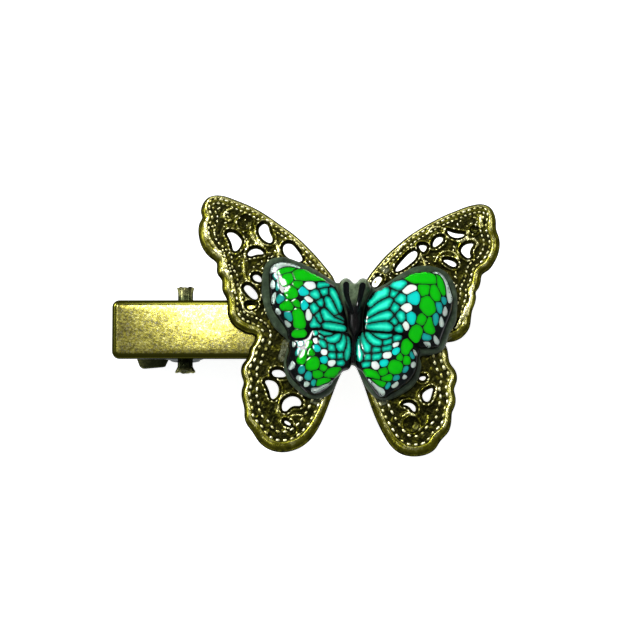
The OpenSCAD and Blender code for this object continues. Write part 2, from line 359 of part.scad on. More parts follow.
// bright white cells between the fans and the green band
right_white = [
  [[7.8, 6.3], [8.3, 6.9], [8.7, 7.1], [9.5, 7.1], [10, 6.9], [10, 6.5], [9.4, 6.1],
    [8.6, 5.75], [8.2, 5.85]],
  [[7.6, 3.4], [8.2, 4], [8.9, 4.1], [9.2, 3.7], [9.2, 3], [8.5, 2.6], [8, 2.9]],
  [[7.9, 0.6], [8.3, 1.1], [8.7, 0.6], [8.7, 0.1], [8.45, -0.3], [8.1, 0]],
  [[6.2, -2.7], [6.6, -2.4], [7.2, -2.3], [6.9, -2.9], [6.4, -3.2], [6.2, -3.1]],
  [[4.7, -4.3], [5.1, -4], [5.8, -4], [5.9, -4.5], [5.5, -4.9], [4.8, -5], [4.6, -4.7]],
  [[2.8, -5.7], [3.4, -5.6], [3.9, -6.3], [3.6, -6.7], [3.3, -6.7], [2.8, -6.3]]
];
left_white = [
  [[-8.4, 7.2], [-8.1, 7.6], [-7, 7.6], [-6.6, 7.3], [-6.6, 6.8], [-7.3, 6.5], [-7.9, 6.6]],
  [[-8.4, 5], [-7.9, 5.3], [-7.4, 5.1], [-7, 4.7], [-7.3, 4.4], [-7.9, 4.5]],
  [[-7.9, 3], [-7.7, 3.2], [-7.3, 2.3], [-7.3, 1.7], [-7.6, 1.4], [-7.9, 1.5], [-8, 2.2]],
  [[-6.8, -1.9], [-6.5, -1.7], [-6.3, -2.5], [-6.6, -2.5]],
  [[-5.5, -3.7], [-5.1, -3.6], [-4.7, -3.8], [-4.8, -4.4], [-5.3, -4.4], [-5.6, -4]],
  [[-4.4, -5.6], [-4, -5.4], [-3.4, -5.4], [-3.4, -5.8], [-4, -6.2], [-4.4, -6]]
];

// greyish white cells along the outer edge
right_edge = [
  [[12.9, 9.4], [13.4, 9.5], [14, 9.4], [14.6, 8.9], [15.2, 7.8], [15.6, 6.4], [16, 5.2],
    [15.9, 4.6], [15.6, 4.3], [15.35, 4.9], [15.15, 6.2], [15, 7.3], [14.5, 8.5], [13.9, 9.2]],
  [[14.9, 3.6], [15.15, 3], [15.1, 2.5], [14.85, 2.1], [14.6, 2.4], [14.55, 2.8]],
  [[14.2, 1.9], [14.5, 1.2], [14.6, 0.8], [14.4, 0.3], [14.1, 0.5], [14, 1]],
  [[13.1, -1.2], [13.4, -1.5], [13.8, -2.1], [13.7, -2.5], [13.3, -2.4], [13.1, -1.9]],
  [[11.4, -2.3], [12.2, -2.3], [12.4, -2.9], [12.2, -3], [11.8, -2.8]],
  [[9.65, -3.6], [9.8, -3.7], [10.2, -4.5], [10.1, -4.6], [9.8, -4.2]],
  [[9.4, -5.7], [9.8, -5.6], [9.9, -6], [9.7, -6.4], [9.4, -6.4], [9.2, -6.1]],
  [[8.1, -7.8], [8.5, -8], [8.2, -8.3], [7.8, -8.3]],
  [[6.9, -8.9], [7.1, -9.1], [6.8, -9.5], [6.2, -9.8], [6, -9.6]],
  [[2.2, -8.4], [2.8, -8.9], [3.8, -9.7], [4.5, -10.1], [4.8, -10.6], [4.7, -11],
    [4.2, -11.1], [4, -10.6], [3.1, -9.5], [2.3, -8.6]]
];
left_edge = [
  [[-14, 9.4], [-13.9, 10.2], [-13.4, 10.7], [-12.4, 11.1], [-11.4, 11], [-10.2, 10.7],
    [-9, 10.2], [-9.4, 10.2], [-10.6, 10.5], [-11.9, 10.45], [-12.9, 10.1], [-13.5, 9.6]],
  [[-13.7, 8.1], [-13.4, 7.5], [-13.3, 6.9], [-13.7, 6.7], [-14, 7.2]],
  [[-13.3, 6], [-13.3, 5.2], [-13.5, 4.4], [-13.7, 4.2], [-13.8, 5], [-13.6, 5.6]],
  [[-13, 3.3], [-12.7, 3.1], [-12.4, 2.6], [-12.6, 2.4], [-12.9, 2.6], [-13.2, 3]],
  [[-11.6, 1.3], [-11.2, 1.1], [-10.7, 0.6], [-10.9, 0.3], [-11.2, 0.4], [-11.5, 0.9]],
  [[-10.3, -2.3], [-10, -2.4], [-10.1, -3], [-10.3, -3]],
  [[-10.4, -5.5], [-10, -6], [-10.3, -6.5], [-10.8, -6.8], [-11, -6.5], [-10.7, -6]],
  [[-9.7, -8.2], [-9.3, -7.9], [-8.7, -8.3], [-9.2, -8.7]],
  [[-8.1, -8.8], [-7.6, -9.2], [-7.9, -9.5], [-8.4, -9.6], [-8.4, -9.2]],
  [[-7.2, -10], [-6.4, -9.9], [-5.4, -9.45], [-4.4, -9.1], [-3.7, -8.5], [-4.1, -9.1],
    [-5, -9.7], [-6, -10.3], [-6.8, -10.6], [-7.1, -10.4]]
];

// ---- placing -----------------------------------------------------------

// everything is drawn about the pin axis and moved to the common frame
module placed() translate(shift) children();

// drawing plane of the stamped butterfly, from height a to height b
module on_filigree(a, b) translate([filigree_at[0], filigree_at[1], a])
  linear_extrude(height = b - a) children();

// drawing plane of the clay butterfly, from height a to height b
module on_clay(a, b) translate([clay_at[0], clay_at[1], a])
  linear_extrude(height = b - a) children();

// side profile in X and Z, thickened across Y from y0 to y1
module profile(points, y0, y1) translate([0, y1, 0]) rotate([90, 0, 0])
  linear_extrude(height = y1 - y0) polygon(points);

// round bar across Y
module bar(r, y0, y1) translate([0, y0, 0]) rotate([-90, 0, 0]) cylinder(r = r, h = y1 - y0);

// ---- clip --------------------------------------------------------------

// block with rounded corners and a softened upper edge
module rounded_block(x0, x1, half, low, high, round_r, soft) hull() {
  for (x = [x0 + round_r, x1 - round_r], y = [-half + round_r, half - round_r]) {
    translate([x, y, low]) cylinder(r = round_r, h = high - soft - low, $fn = 32);
    translate([x, y, high - 0.3 * soft])
      cylinder(r = round_r - 0.3 * soft, h = 0.0001, $fn = 32);
    translate([x, y, high - 0.001]) cylinder(r = round_r - 0.85 * soft, h = 0.001, $fn = 32);
  }
}

module top_plate() difference() {
  rounded_block(plate_back, plate_back + plate_length, plate_width / 2, plate_top - 1.6,
    plate_top, 1.2, 0.7);
  rounded_block(plate_back + sheet, plate_back + plate_length - sheet,
    plate_width / 2 - sheet, plate_top - 2, plate_top - sheet, 0.6, 0.3);
}

module top_ear(y0) difference() {
  union() {
    profile([[-3.75, 3.2], [3.4, 3.2], [3.1, 2], [2.2, 0], [-2.2, 0], [-3.2, 2]], y0, y0 + sheet);
    bar(ear_r, y0, y0 + sheet);
  }
  bar(pin_r, y0 - 1, y0 + sheet + 1);
}

module top_arm() placed() color(bronze) {
  top_plate();
  top_ear(plate_width / 2 - sheet);
  mirror([0, 1, 0]) top_ear(plate_width / 2 - sheet);
}

module hinge_pin() placed() color([0.55, 0.5, 0.3]) translate([0, 0.35, 0]) difference() {
  union() {
    bar(pin_r, -pin_length / 2, pin_length / 2);
    for (s = [-1, 1])
      rotate([-90 * s, 0, 0]) translate([0, 0, pin_length / 2 - 1])
        cylinder(r1 = pin_r, r2 = pin_r + 0.45, h = 1);
  }
  bar(pin_r - 0.35, -pin_length, pin_length);
}

// lower arm: centre line from the handle tip past the hinge to the jaw tip
tip = [-8.2, -7];
knee = [-2, -2.9];
heel = [2, -2.9];
nose = [32.5, 0.6];
module lower_strip() {
  h = sheet / 2;
  // handle tab
  profile([tip + [-0.25, 0.37], tip + [0.22, -0.35], [-3.2, -4.15], [-3.65, -3.55]],
    -handle_width / 2 + 1.2, handle_width / 2 - 1.2);
  profile([tip + [0.75, 1.03], tip + [1.2, 0.3], [-3.2, -4.15], [-3.65, -3.55]],
    -handle_width / 2, handle_width / 2);
  // web under the hinge and jaw
  profile([[-3.65, -3.55], [-3.2, -4.15], knee + [0.1, -h], heel + [0.05, -h],
    nose + [0.05, -h], nose + [-0.05, h], heel + [-0.05, h], knee + [-0.1, h]], -3.9, 3.9);
}

module lower_side(y0) difference() {
  union() {
    profile([[-3.2, -4], [-2, -3.3], [2, -3.3], nose + [0, -0.4], [32.5, 2.9], [31.9, 3.25],
      [30.9, 2.45], [29.9, 3.25], [28.9, 2.45], [27.9, 3.25], [26.9, 2.45], [25.9, 3.25],
      [24.9, 2.45], [23.9, 3.25], [22.9, 2.45], [21.9, 3.25], [20.9, 2.45], [19.9, 3.25],
      [18.9, 2.45], [17.9, 3.25], [16.9, 2.2], [14, 0.6], [9, -0.8], [4.6, -0.9],
      [2.3, 0.9], [-2.2, 1], [-2.9, -1.6], [-4, -3.2]], y0, y0 + sheet);
    bar(ear_r - 0.1, y0, y0 + sheet);
  }
  bar(pin_r + 0.05, y0 - 1, y0 + sheet + 1);
}

module lower_arm() placed() color(bronze) {
  lower_strip();
  lower_side(3.1);
  mirror([0, 1, 0]) lower_side(3.1);
}

// spring wire path: leg to the handle, coil round the pin, leg to the plate
coil_r = 1.85;
coil_half = 2.4;
leg_low = [-6.2, -4.7];
leg_high = [-8.6, 3];
function leg_angle(p) = atan2(p[1], p[0]) - acos(coil_r / norm(p));
function leg_angle_up(p) = atan2(p[1], p[0]) + acos(coil_r / norm(p));
start_angle = leg_angle(leg_low);
end_angle = leg_angle_up(leg_high);
sweep = -(360 * (turns - 1) + ((start_angle - end_angle) % 360 + 360) % 360);
ring_steps = turns * 20;
function coil_point(i) = let (a = start_angle + sweep * i / ring_steps)
  [coil_r * cos(a), -coil_half + 2 * coil_half * i / ring_steps, coil_r * sin(a)];
spring_path = concat(
  [[leg_low[0], -coil_half, leg_low[1]]],
  [for (i = [0 : ring_steps]) coil_point(i)],
  [[leg_high[0], coil_half, leg_high[1]]]
);
function unit(v) = v / max(norm(v), 0.00001);
function path_dir(p, i) = unit(p[min(i + 1, len(p) - 1)] - p[max(i - 1, 0)]);
sides = 10;
module torsion_spring() placed() color([0.5, 0.5, 0.5]) {
  n = len(spring_path);
  points = [
    for (i = [0 : n - 1])
      let (d = path_dir(spring_path, i), s = unit(cross(d, [0, 1, 0])), u = cross(s, d))
        for (k = [0 : sides - 1])
          spring_path[i] + wire / 2 * (cos(360 * k / sides) * s + sin(360 * k / sides) * u)
  ];
  skin = [
    for (i = [0 : n - 2], k = [0 : sides - 1])
      for (f = [0, 1])
        f == 0
          ? [i * sides + k, i * sides + (k + 1) % sides, (i + 1) * sides + k]
          : [i * sides + (k + 1) % sides, (i + 1) * sides + (k + 1) % sides,
            (i + 1) * sides + k]
  ];
  ends = [
    [for (k = [0 : sides - 1]) sides - 1 - k],
    [for (k = [0 : sides - 1]) (n - 1) * sides + k]
  ];
  polyhedron(points = points, faces = concat(skin, ends));
}

// ---- stamped butterfly ---------------------------------------------------

filigree_curve = smooth(filigree_edge, 2);

module filigree_butterfly() placed() color(bronze) difference() {
  union() {
    on_filigree(field_low, field_top) polygon(filigree_curve);
    on_filigree(filigree_low, field_low + 0.1) difference() {
      polygon(filigree_curve);
      polygon(inset(filigree_curve, 0.7));
    }
    on_filigree(field_top - 0.1, ring_top) intersection() {
      polygon(inset(filigree_curve, 0.7));
      union() for (h = filigree_holes) polygon(inset(smooth(h, 2), -0.55));
    }
  }
  for (h = filigree_holes) on_filigree(filigree_low - 1, ring_top + 1) polygon(smooth(h, 2));
}

// glue between the plate and the turned-down edges of the stamping
module clip_glue() placed() color([0.6, 0.6, 0.55]) intersection() {
  translate([6, -3.9, plate_top]) cube([26.8, 7.8, field_low - plate_top]);
  on_filigree(plate_top, field_low) difference() {
    polygon(inset(filigree_curve, 0.75));
    for (h = filigree_holes) polygon(inset(smooth(h, 2), -0.3));
  }
}

// ---- clay butterfly --------------------------------------------------------

clay_curve = smooth(clay_edge, 2);

module clay_glue() placed() color([0.7, 0.72, 0.68]) difference() {
  intersection() {
    on_clay(field_top, clay_low) polygon(inset(clay_curve, 0.5));
    on_filigree(field_top, clay_low) polygon(inset(filigree_curve, 0.5));
  }
  for (h = filigree_holes)
    on_filigree(field_top - 1, clay_low + 1) polygon(inset(smooth(h, 2), -0.56));
}

module clay_backing() placed() color([0.3, 0.34, 0.3])
  on_clay(clay_low, backing_top) polygon(clay_curve);

module cells(list) placed() for (c = list)
  on_clay(wing_top - inlay_depth, wing_top) polygon(c);

module pockets(lists) for (list = lists, c = list)
  on_clay(wing_top - inlay_depth, wing_top + 1) polygon(c);

module wing(edge, lists) placed() color([0.05, 0.07, 0.07]) difference() {
  union() {
    on_clay(backing_top, wing_top - 0.35) polygon(smooth(edge, 2));
    on_clay(wing_top - 0.45, wing_top) polygon(inset(smooth(edge, 2), 0.2));
  }
  pockets(lists);
}

left_lists = [left_fan, left_green, left_turquoise, left_teal, left_white, left_edge];
right_lists = [right_fan, right_green, right_turquoise, right_teal, right_white, right_edge];

module left_forewing() wing(left_fore, left_lists);
module right_forewing() wing(right_fore, right_lists);
module left_hindwing() wing(left_hind, left_lists);
module right_hindwing() wing(right_hind, right_lists);

body_edge = [
  [-2.6, 6.9], [-2.4, 7.7], [-1.4, 8.1], [-0.1, 7.5], [1.1, 8.1], [1.9, 7.8], [2.6, 6.9],
  [2.4, 6.2], [1.75, 4.8], [1.25, 2.6], [1.2, 0.5], [0.75, -0.6], [0.15, -1.4],
  [-0.05, -3], [0, -5.3], [-0.4, -5.9], [-0.7, -5.4], [-0.45, -3.2], [-0.5, -1.4],
  [-0.8, -0.5], [-1.2, 0.4], [-1.3, 2.6], [-1.9, 4.4], [-2.4, 5.6]
];
body_top = wing_top + 0.5;

module clay_body() placed() color([0.14, 0.14, 0.14]) {
  on_clay(backing_top, wing_top - 0.5) polygon(smooth(body_edge, 2));
  on_clay(wing_top - 0.6, wing_top) polygon(inset(smooth(body_edge, 2), 0.15));
  on_clay(wing_top - 0.1, body_top) polygon([[-0.9, 2.6], [0, 3.6], [0.9, 2.6], [0.9, 0.6],
    [0.4, -0.4], [-0.4, -0.4], [-0.9, 0.6]]);
}

// raised black strokes on the head
module antenna(line) placed() color([0.03, 0.04, 0.04]) difference() {
  union() for (i = [0 : len(line) - 1])
    translate([clay_at[0] + line[i][0], clay_at[1] + line[i][1], wing_top]) {
      cylinder(r = 0.42, h = 0.35, $fn = 24);
      if (i < len(line) - 1) stroke(line[i + 1] - line[i], 0.42, 0.35);
    }
}
module stroke(v, r, h) rotate([0, 0, atan2(v[1], v[0])]) translate([0, -r, 0])
  cube([norm(v), 2 * r, h]);

module left_antenna() antenna([[-1.35, 7.3], [-1.4, 5.4], [-0.75, 3.6]]);
module right_antenna() antenna([[1.1, 7.2], [0.75, 5.4], [0.4, 3.7]]);

module left_fan_cells() color([0, 0.8, 0.7]) cells(left_fan);
module right_fan_cells() color([0, 0.8, 0.7]) cells(right_fan);
module left_green_cells() color([0, 0.6, 0]) cells(left_green);
module right_green_cells() color([0, 0.6, 0]) cells(right_green);
module left_turquoise_cells() color([0, 0.9, 0.8]) cells(left_turquoise);
module right_turquoise_cells() color([0, 0.9, 0.8]) cells(right_turquoise);
module left_teal_cells() color([0, 0.5, 0.45]) cells(left_teal);
module right_teal_cells() color([0, 0.5, 0.45]) cells(right_teal);
module left_white_cells() color([0.9, 1, 0.95]) cells(left_white);
module right_white_cells() color([0.9, 1, 0.95]) cells(right_white);
module left_edge_cells() color([0.7, 0.8, 0.75]) cells(left_edge);
module right_edge_cells() color([0.7, 0.8, 0.75]) cells(right_edge);

top_arm();
hinge_pin();
lower_arm();
torsion_spring();
filigree_butterfly();
clip_glue();
clay_glue();
clay_backing();
left_forewing();
right_forewing();
left_hindwing();
right_hindwing();
clay_body();
left_antenna();
right_antenna();
left_fan_cells();
right_fan_cells();
left_green_cells();
right_green_cells();
left_turquoise_cells();
right_turquoise_cells();
left_teal_cells();
right_teal_cells();
left_white_cells();
right_white_cells();
left_edge_cells();
right_edge_cells();
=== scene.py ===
"""Looks of the butterfly hair clip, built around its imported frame.

Shapes are worked out in millimetres in the frame's own axes and made in metres.
"""

import json
import math

import bmesh
import bpy
import numpy as np
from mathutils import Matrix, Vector
from mathutils.geometry import delaunay_2d_cdt


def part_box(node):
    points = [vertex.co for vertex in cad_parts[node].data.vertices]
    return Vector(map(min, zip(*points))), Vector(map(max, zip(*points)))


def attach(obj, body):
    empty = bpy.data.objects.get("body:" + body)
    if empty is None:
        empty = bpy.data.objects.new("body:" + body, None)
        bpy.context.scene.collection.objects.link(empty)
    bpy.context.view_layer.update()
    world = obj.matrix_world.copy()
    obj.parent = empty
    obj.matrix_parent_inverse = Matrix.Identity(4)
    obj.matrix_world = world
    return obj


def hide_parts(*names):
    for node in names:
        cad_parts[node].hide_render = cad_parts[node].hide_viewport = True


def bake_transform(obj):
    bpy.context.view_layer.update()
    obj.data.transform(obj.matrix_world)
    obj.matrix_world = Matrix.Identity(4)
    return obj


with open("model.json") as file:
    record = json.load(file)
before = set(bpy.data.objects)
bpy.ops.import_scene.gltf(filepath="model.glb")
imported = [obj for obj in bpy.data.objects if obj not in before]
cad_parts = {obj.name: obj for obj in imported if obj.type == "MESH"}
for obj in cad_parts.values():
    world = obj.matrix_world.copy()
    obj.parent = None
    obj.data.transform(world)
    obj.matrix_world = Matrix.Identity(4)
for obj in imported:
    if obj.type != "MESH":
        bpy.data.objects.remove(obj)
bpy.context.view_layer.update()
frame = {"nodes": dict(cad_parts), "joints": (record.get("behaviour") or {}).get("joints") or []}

MM = 0.001
ARM = "decorated_arm"
JAW = "jaw_arm"
rng = np.random.default_rng(7)


def box_of(node):
    """Lowest and highest corner of a node's solids, in millimetres."""
    return [np.array(corner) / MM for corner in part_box(node)]


# Levels of the layers, in millimetres above the frame's origin
RIM_LOW = box_of("filigree_butterfly")[0][2]
FIELD_LOW = RIM_LOW + 0.7
FIELD_TOP = FIELD_LOW + 0.7
CLAY_LOW, BACKING_TOP = (corner[2] for corner in box_of("clay_backing"))
WING_TOP = box_of("left_forewing")[1][2]
BODY_TOP = box_of("clay_body")[1][2]
PLATE_TOP = box_of("top_arm")[1][2]
PIN = np.array(frame["joints"][0]["pos_m"]) / MM

# Middle of the stamped butterfly and of the clay butterfly, in X and Y
FILIGREE_AT = PIN[:2] + (27.42, -0.12)
CLAY_AT = PIN[:2] + (28.42, -0.54)


# ---- outlines ---------------------------------------------------------------


def area(loop):
    """Signed area of a closed loop, positive when it runs anticlockwise."""
    after = np.roll(loop, -1, axis=0)
    return 0.5 * np.sum(loop[:, 0] * after[:, 1] - after[:, 0] * loop[:, 1])


def flat_loops(node, axis, height, sign):
    """Closed outlines of a node's flat faces square to an axis at one height: (outer, holes)."""
    mesh = frame["nodes"][node].data
    co = np.empty(len(mesh.vertices) * 3, np.float32)
    mesh.vertices.foreach_get("co", co)
    co = co.reshape(-1, 3).astype(float) / MM
    ids = {}
    same = [ids.setdefault(tuple(p), len(ids)) for p in np.round(co + 0.000037, 3)]
    place = dict(zip(same, co))
    ring = set()
    for face in mesh.polygons:
        corners = list(face.vertices)
        off = np.abs(co[corners, axis] - height).max()
        if off > 0.004 or face.normal[axis] * sign < 0.9:
            continue
        c = [same[v] for v in corners]
        for a, b in zip(c, c[1:] + c[:1]):
            if (b, a) in ring:
                ring.discard((b, a))  # an edge between two flat faces
            elif a != b:
                ring.add((a, b))
    follow = {}
    for a, b in sorted(ring):
        follow.setdefault(a, []).append(b)
    axes = [k for k in (0, 1, 2) if k != axis]
    outer = []
    holes = []
    while follow:
        start = min(follow)
        at = start
        loop = []
        while True:
            loop.append(place[at][axes])
            ways = follow[at]
            step = ways.pop()
            if not ways:
                del follow[at]
            at = step
            if at == start or at not in follow:
                break
        loop = np.array(loop)
        if len(loop) < 3 or abs(area(loop)) < 0.02:
            continue
        turn = area(loop) * sign * (-1 if axis == 1 else 1)
        if area(loop) < 0:
            loop = loop[::-1]
        (outer if turn > 0 else holes).append(loop)
    return outer, holes


def lengths(path):
    """How far along a line each of its points lies."""
    return np.concatenate([[0], np.cumsum(np.linalg.norm(np.diff(path, axis=0), axis=1))])


def resampled(path, at):
    """Points of a line at the given distances along it."""
    far = lengths(path)
    return np.column_stack([np.interp(at, far, column) for column in path.T])


def spaced(loop, step):
    """Points evenly spaced along a closed loop, about step apart."""
    closed = np.vstack([loop, loop[:1]])
    full = lengths(closed)[-1]
    n = max(8, round(full / step))
    return resampled(closed, np.arange(n) * full / n)


def along(path, step):
    """Points evenly spaced along an open line, and their directions."""
    path = np.array(path, float)
    full = lengths(path)[-1]
    points = resampled(path, np.linspace(0, full, max(2, round(full / step) + 1)))
    ways = np.gradient(points, axis=0)
    return points, ways / np.linalg.norm(ways, axis=1)[:, None]


def softened(loop, times, closed=True):
    """The same line with its corners cut, so that it turns smoothly."""
    loop = np.array(loop, float)
    for _ in range(times):
        after = np.roll(loop, -1, axis=0)
        cut = np.stack([0.75 * loop + 0.25 * after, 0.25 * loop + 0.75 * after], 1)
        if closed:
            loop = cut.reshape(-1, loop.shape[1])
        else:
            inner = cut[:-1].reshape(-1, loop.shape[1])
            loop = np.vstack([loop[:1], inner[1:-1], loop[-1:]])
    return loop


def inset(loop, distance):
    """An anticlockwise loop moved inwards."""
    ahead = np.roll(loop, -1, axis=0) - np.roll(loop, 1, axis=0)
    ahead /= np.maximum(np.linalg.norm(ahead, axis=1), 1e-6)[:, None]
    return loop + distance * np.column_stack([-ahead[:, 1], ahead[:, 0]])


def rounded(loop, step):
    """A closed loop with its corners cut once, and evenly spaced points."""
    return spaced(softened(loop, 1), step)


def widened(loop, room, step, times=0):
    """A loop moved outwards, each point by its own room, which is first evened out."""
    for _ in range(times):
        room = (np.roll(room, 1) + room + np.roll(room, -1)) / 3
    return spaced(inset(loop, -room[:, None]), step)


def segments(lines, closed=True):
    """Start and end points of every stretch of the lines."""
    if closed:
        return np.vstack(lines), np.vstack([np.roll(p, -1, axis=0) for p in lines])
    return np.vstack([p[:-1] for p in lines]), np.vstack([p[1:] for p in lines])


BATCH = 2000


def in_batches(points, work, kind=float):
    """What work finds for each point, taking a batch at a time to spare memory."""
    found = np.empty(len(points), kind)
    for k in range(0, len(points), BATCH):
        batch = points[k : k + BATCH]
        found[k : k + BATCH] = work(batch[:, 0, None], batch[:, 1, None])
    return found


def distance(points, lines, closed=True):
    """Each point's distance to the nearest line."""
    a, b = segments(lines, closed)
    ab = b - a
    square = np.maximum((ab**2).sum(1), 1e-12)

    def nearest(x, y):
        x = x - a[:, 0]
        y = y - a[:, 1]
        t = np.clip((x * ab[:, 0] + y * ab[:, 1]) / square, 0, 1)
        return ((x - t * ab[:, 0]) ** 2 + (y - t * ab[:, 1]) ** 2).min(1)

    return np.sqrt(in_batches(points, nearest))


def within(points, loops):
    """Which points lie inside the first loop and outside the others."""
    a, b = segments(loops)
    rise = np.where(np.abs(b[:, 1] - a[:, 1]) < 1e-12, 1e-12, b[:, 1] - a[:, 1])

    def crossed(x, y):
        spans = (a[:, 1] > y) != (b[:, 1] > y)
        left = x < (b[:, 0] - a[:, 0]) * (y - a[:, 1]) / rise + a[:, 0]
        return (spans & left).sum(1) % 2 == 1

    return in_batches(points, crossed, bool)


def smooth_step(value):
    """0 below 0, 1 above 1, and an even curve between."""
    value = np.clip(value, 0, 1)
    return value * value * (3 - 2 * value)


def ripple(points, length, seed=0.0):
    """Gentle uneven waves between -1 and 1, about length across."""
    x = points[:, 0] * 2 * math.pi / length
    y = points[:, 1] * 2 * math.pi / length
    return (
        np.sin(x + 1.3 * np.sin(0.7 * y + seed) + seed)
        * np.sin(y + 1.1 * np.sin(0.6 * x + 2 * seed))
        + 0.5 * np.sin(1.9 * x - 0.8 * y + 3 * seed)
    ) / 1.5


# ---- meshes -----------------------------------------------------------------


def piece(name, shape, body, node, slot, paint, *groups, crease=60, **attributes):
    """A closed mesh piece from points in millimetres and faces, lit with the given groups."""
    points, faces = shape
    mesh = bpy.data.meshes.new(name)
    mesh.from_pydata((np.array(points) * MM).tolist(), [], faces)
    for key, values in attributes.items():
        layer = mesh.attributes.new(key, "FLOAT", "POINT")
        layer.data.foreach_set("value", np.array(values, np.float32))
    work = bmesh.new()
    work.from_mesh(mesh)
    bmesh.ops.recalc_face_normals(work, faces=work.faces)
    work.to_mesh(mesh)
    work.free()
    mesh.shade_smooth()
    mesh.set_sharp_from_angle(angle=math.radians(crease))
    mesh.materials.append(paint)
    obj = bpy.data.objects.new(name, mesh)
    bpy.context.scene.collection.objects.link(obj)
    for group in groups:
        group.objects.link(obj)
    if body:
        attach(obj, body)
    if node:
        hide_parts(node)
    return obj


def filled(loops, step, bands=()):
    """Points and triangles over the area inside the first loop and outside the others."""
    rims = [spaced(loop, step) for loop in loops]
    low, high = rims[0].min(0), rims[0].max(0)
    rows = []
    for i, y in enumerate(np.arange(low[1], high[1], step * 0.866)):
        xs = np.arange(low[0] + (i % 2) * step / 2, high[0], step)
        rows.append(np.column_stack([xs, np.full(len(xs), y)]))
    grid = np.vstack(rows)
    grid = grid[within(grid, rims)]
    reach = bands[-1] if bands else 0
    extra = [grid[distance(grid, rims) > reach + 0.55 * step]]
    for band in bands:
        ring = np.vstack([inset(rims[0], band)] + [inset(rim, -band) for rim in rims[1:]])
        ring = ring[within(ring, rims)]
        extra.append(ring[distance(ring, rims) > 0.93 * band])
    points = np.vstack(rims + extra)
    edges = []
    base = 0
    for rim in rims:
        n = len(rim)
        edges += [(base + i, base + (i + 1) % n) for i in range(n)]
        base += n
    out = delaunay_2d_cdt([Vector(p) for p in points], edges, [], 0, 1e-6, False)
    flat = np.array([tuple(v) for v in out[0]])
    found = np.array(out[2])
    found = found[within(flat[found].mean(1), rims)]
    a, b, c = (flat[found[:, k]] for k in (0, 1, 2))
    turn = (b[:, 0] - a[:, 0]) * (c[:, 1] - a[:, 1]) - (c[:, 0] - a[:, 0]) * (b[:, 1] - a[:, 1])
    triangles = [list(t) if w > 0 else list(t)[::-1] for t, w in zip(found.tolist(), turn)]
    return flat, triangles, rims


def shell(loops, step, top, bottom, bands=(), lay=None):
    """A closed shape between two faces over an area, and its points' distances to the edge.

    Each face is one height, or gives heights from points and their distances to the edge.
    """
    flat, triangles, rims = filled(loops, step, bands)
    used = sorted({i for t in triangles for i in t})
    number = {old: new for new, old in enumerate(used)}
    flat = flat[used]
    triangles = [[number[i] for i in t] for t in triangles]
    n = len(flat)
    gap = distance(flat, rims)
    levels = [face(flat, gap) if callable(face) else np.full(n, face) for face in (top, bottom)]
    points = np.vstack([np.column_stack([flat, level]) for level in levels])
    if lay:
        points = lay(points)
    edge = {(a, b) for t in triangles for a, b in zip(t, t[1:] + t[:1])}
    faces = triangles + [[i + n for i in reversed(t)] for t in triangles]
    faces += [[a + n, b + n, b, a] for a, b in edge if (b, a) not in edge]
    return (points, faces), np.concatenate([gap, gap])


def joined(parts):
    """One mesh from several: each part is (points, faces)."""
    points = []
    faces = []
    base = 0
    for p, f in parts:
        points.append(np.array(p))
        faces += [[i + base for i in face] for face in f]
        base += len(p)
    return np.vstack(points), faces


def tube(rings, closed=False):
    """A tube through rings of equally many points, capped unless its last ring meets its first."""
    n = len(rings[0])
    total = n * len(rings)
    faces = []
    for low in range(0, total if closed else total - n, n):
        up = (low + n) % total
        for i in range(n):
            j = (i + 1) % n
            faces.append([low + i, low + j, up + j, up + i])
    if not closed:
        faces.append(list(range(n))[::-1])
        faces.append([total - n + i for i in range(n)])
    return np.vstack(rings), faces


def round_off(gap, radius):
    """How far a rounded edge lies below its flat face."""
    near = np.clip(gap, 0, radius)
    return radius - np.sqrt(np.maximum(radius**2 - (radius - near) ** 2, 0))


def side_plate(loops, y0, y1, soft, step=0.35):
    """A flat part standing in the XZ plane between two Y places, with rounded edges."""
    return shell(
        loops,
        step,
        lambda p, d: y1 - round_off(d, soft),
        lambda p, d: y0 + round_off(d, soft),
        bands=(soft * 0.12, soft * 0.45, soft),
        lay=lambda q: q[:, [0, 2, 1]],
    )[0]


BAR_SIDES = 12
GRAIN_SIDES = 8


def swept(path, radius):
    """A round bar with rounded ends along a line of points."""
    way = np.gradient(path, axis=0)
    way /= np.linalg.norm(way, axis=1)[:, None]
    up = np.cross(way[0], (0.0, 1.0, 0.0))
    if np.linalg.norm(up) < 0.2:
        up = np.cross(way[0], (0.0, 0.0, 1.0))
    radii = np.broadcast_to(radius, len(path))
    steps = np.array([0.98, 0.8, 0.45])
    trim = np.sqrt(1 - steps**2)
    first = path[0] - steps[:, None] * way[0] * radii[0]
    last = path[-1] + steps[::-1, None] * way[-1] * radii[-1]
    centres = np.vstack([first, path, last])
    radii = np.concatenate([radii[0] * trim, radii, radii[-1] * trim[::-1]])
    way = np.vstack([np.repeat(way[:1], 3, 0), way, np.repeat(way[-1:], 3, 0)])
    turn = np.arange(BAR_SIDES) * 2 * math.pi / BAR_SIDES
    rings = []
    for c, w, r in zip(centres, way, radii):
        up = up - w * (up @ w)
        up /= np.linalg.norm(up)
        side = np.cross(w, up)
        rings.append(c + r * (np.cos(turn)[:, None] * up + np.sin(turn)[:, None] * side))
    return tube(rings)


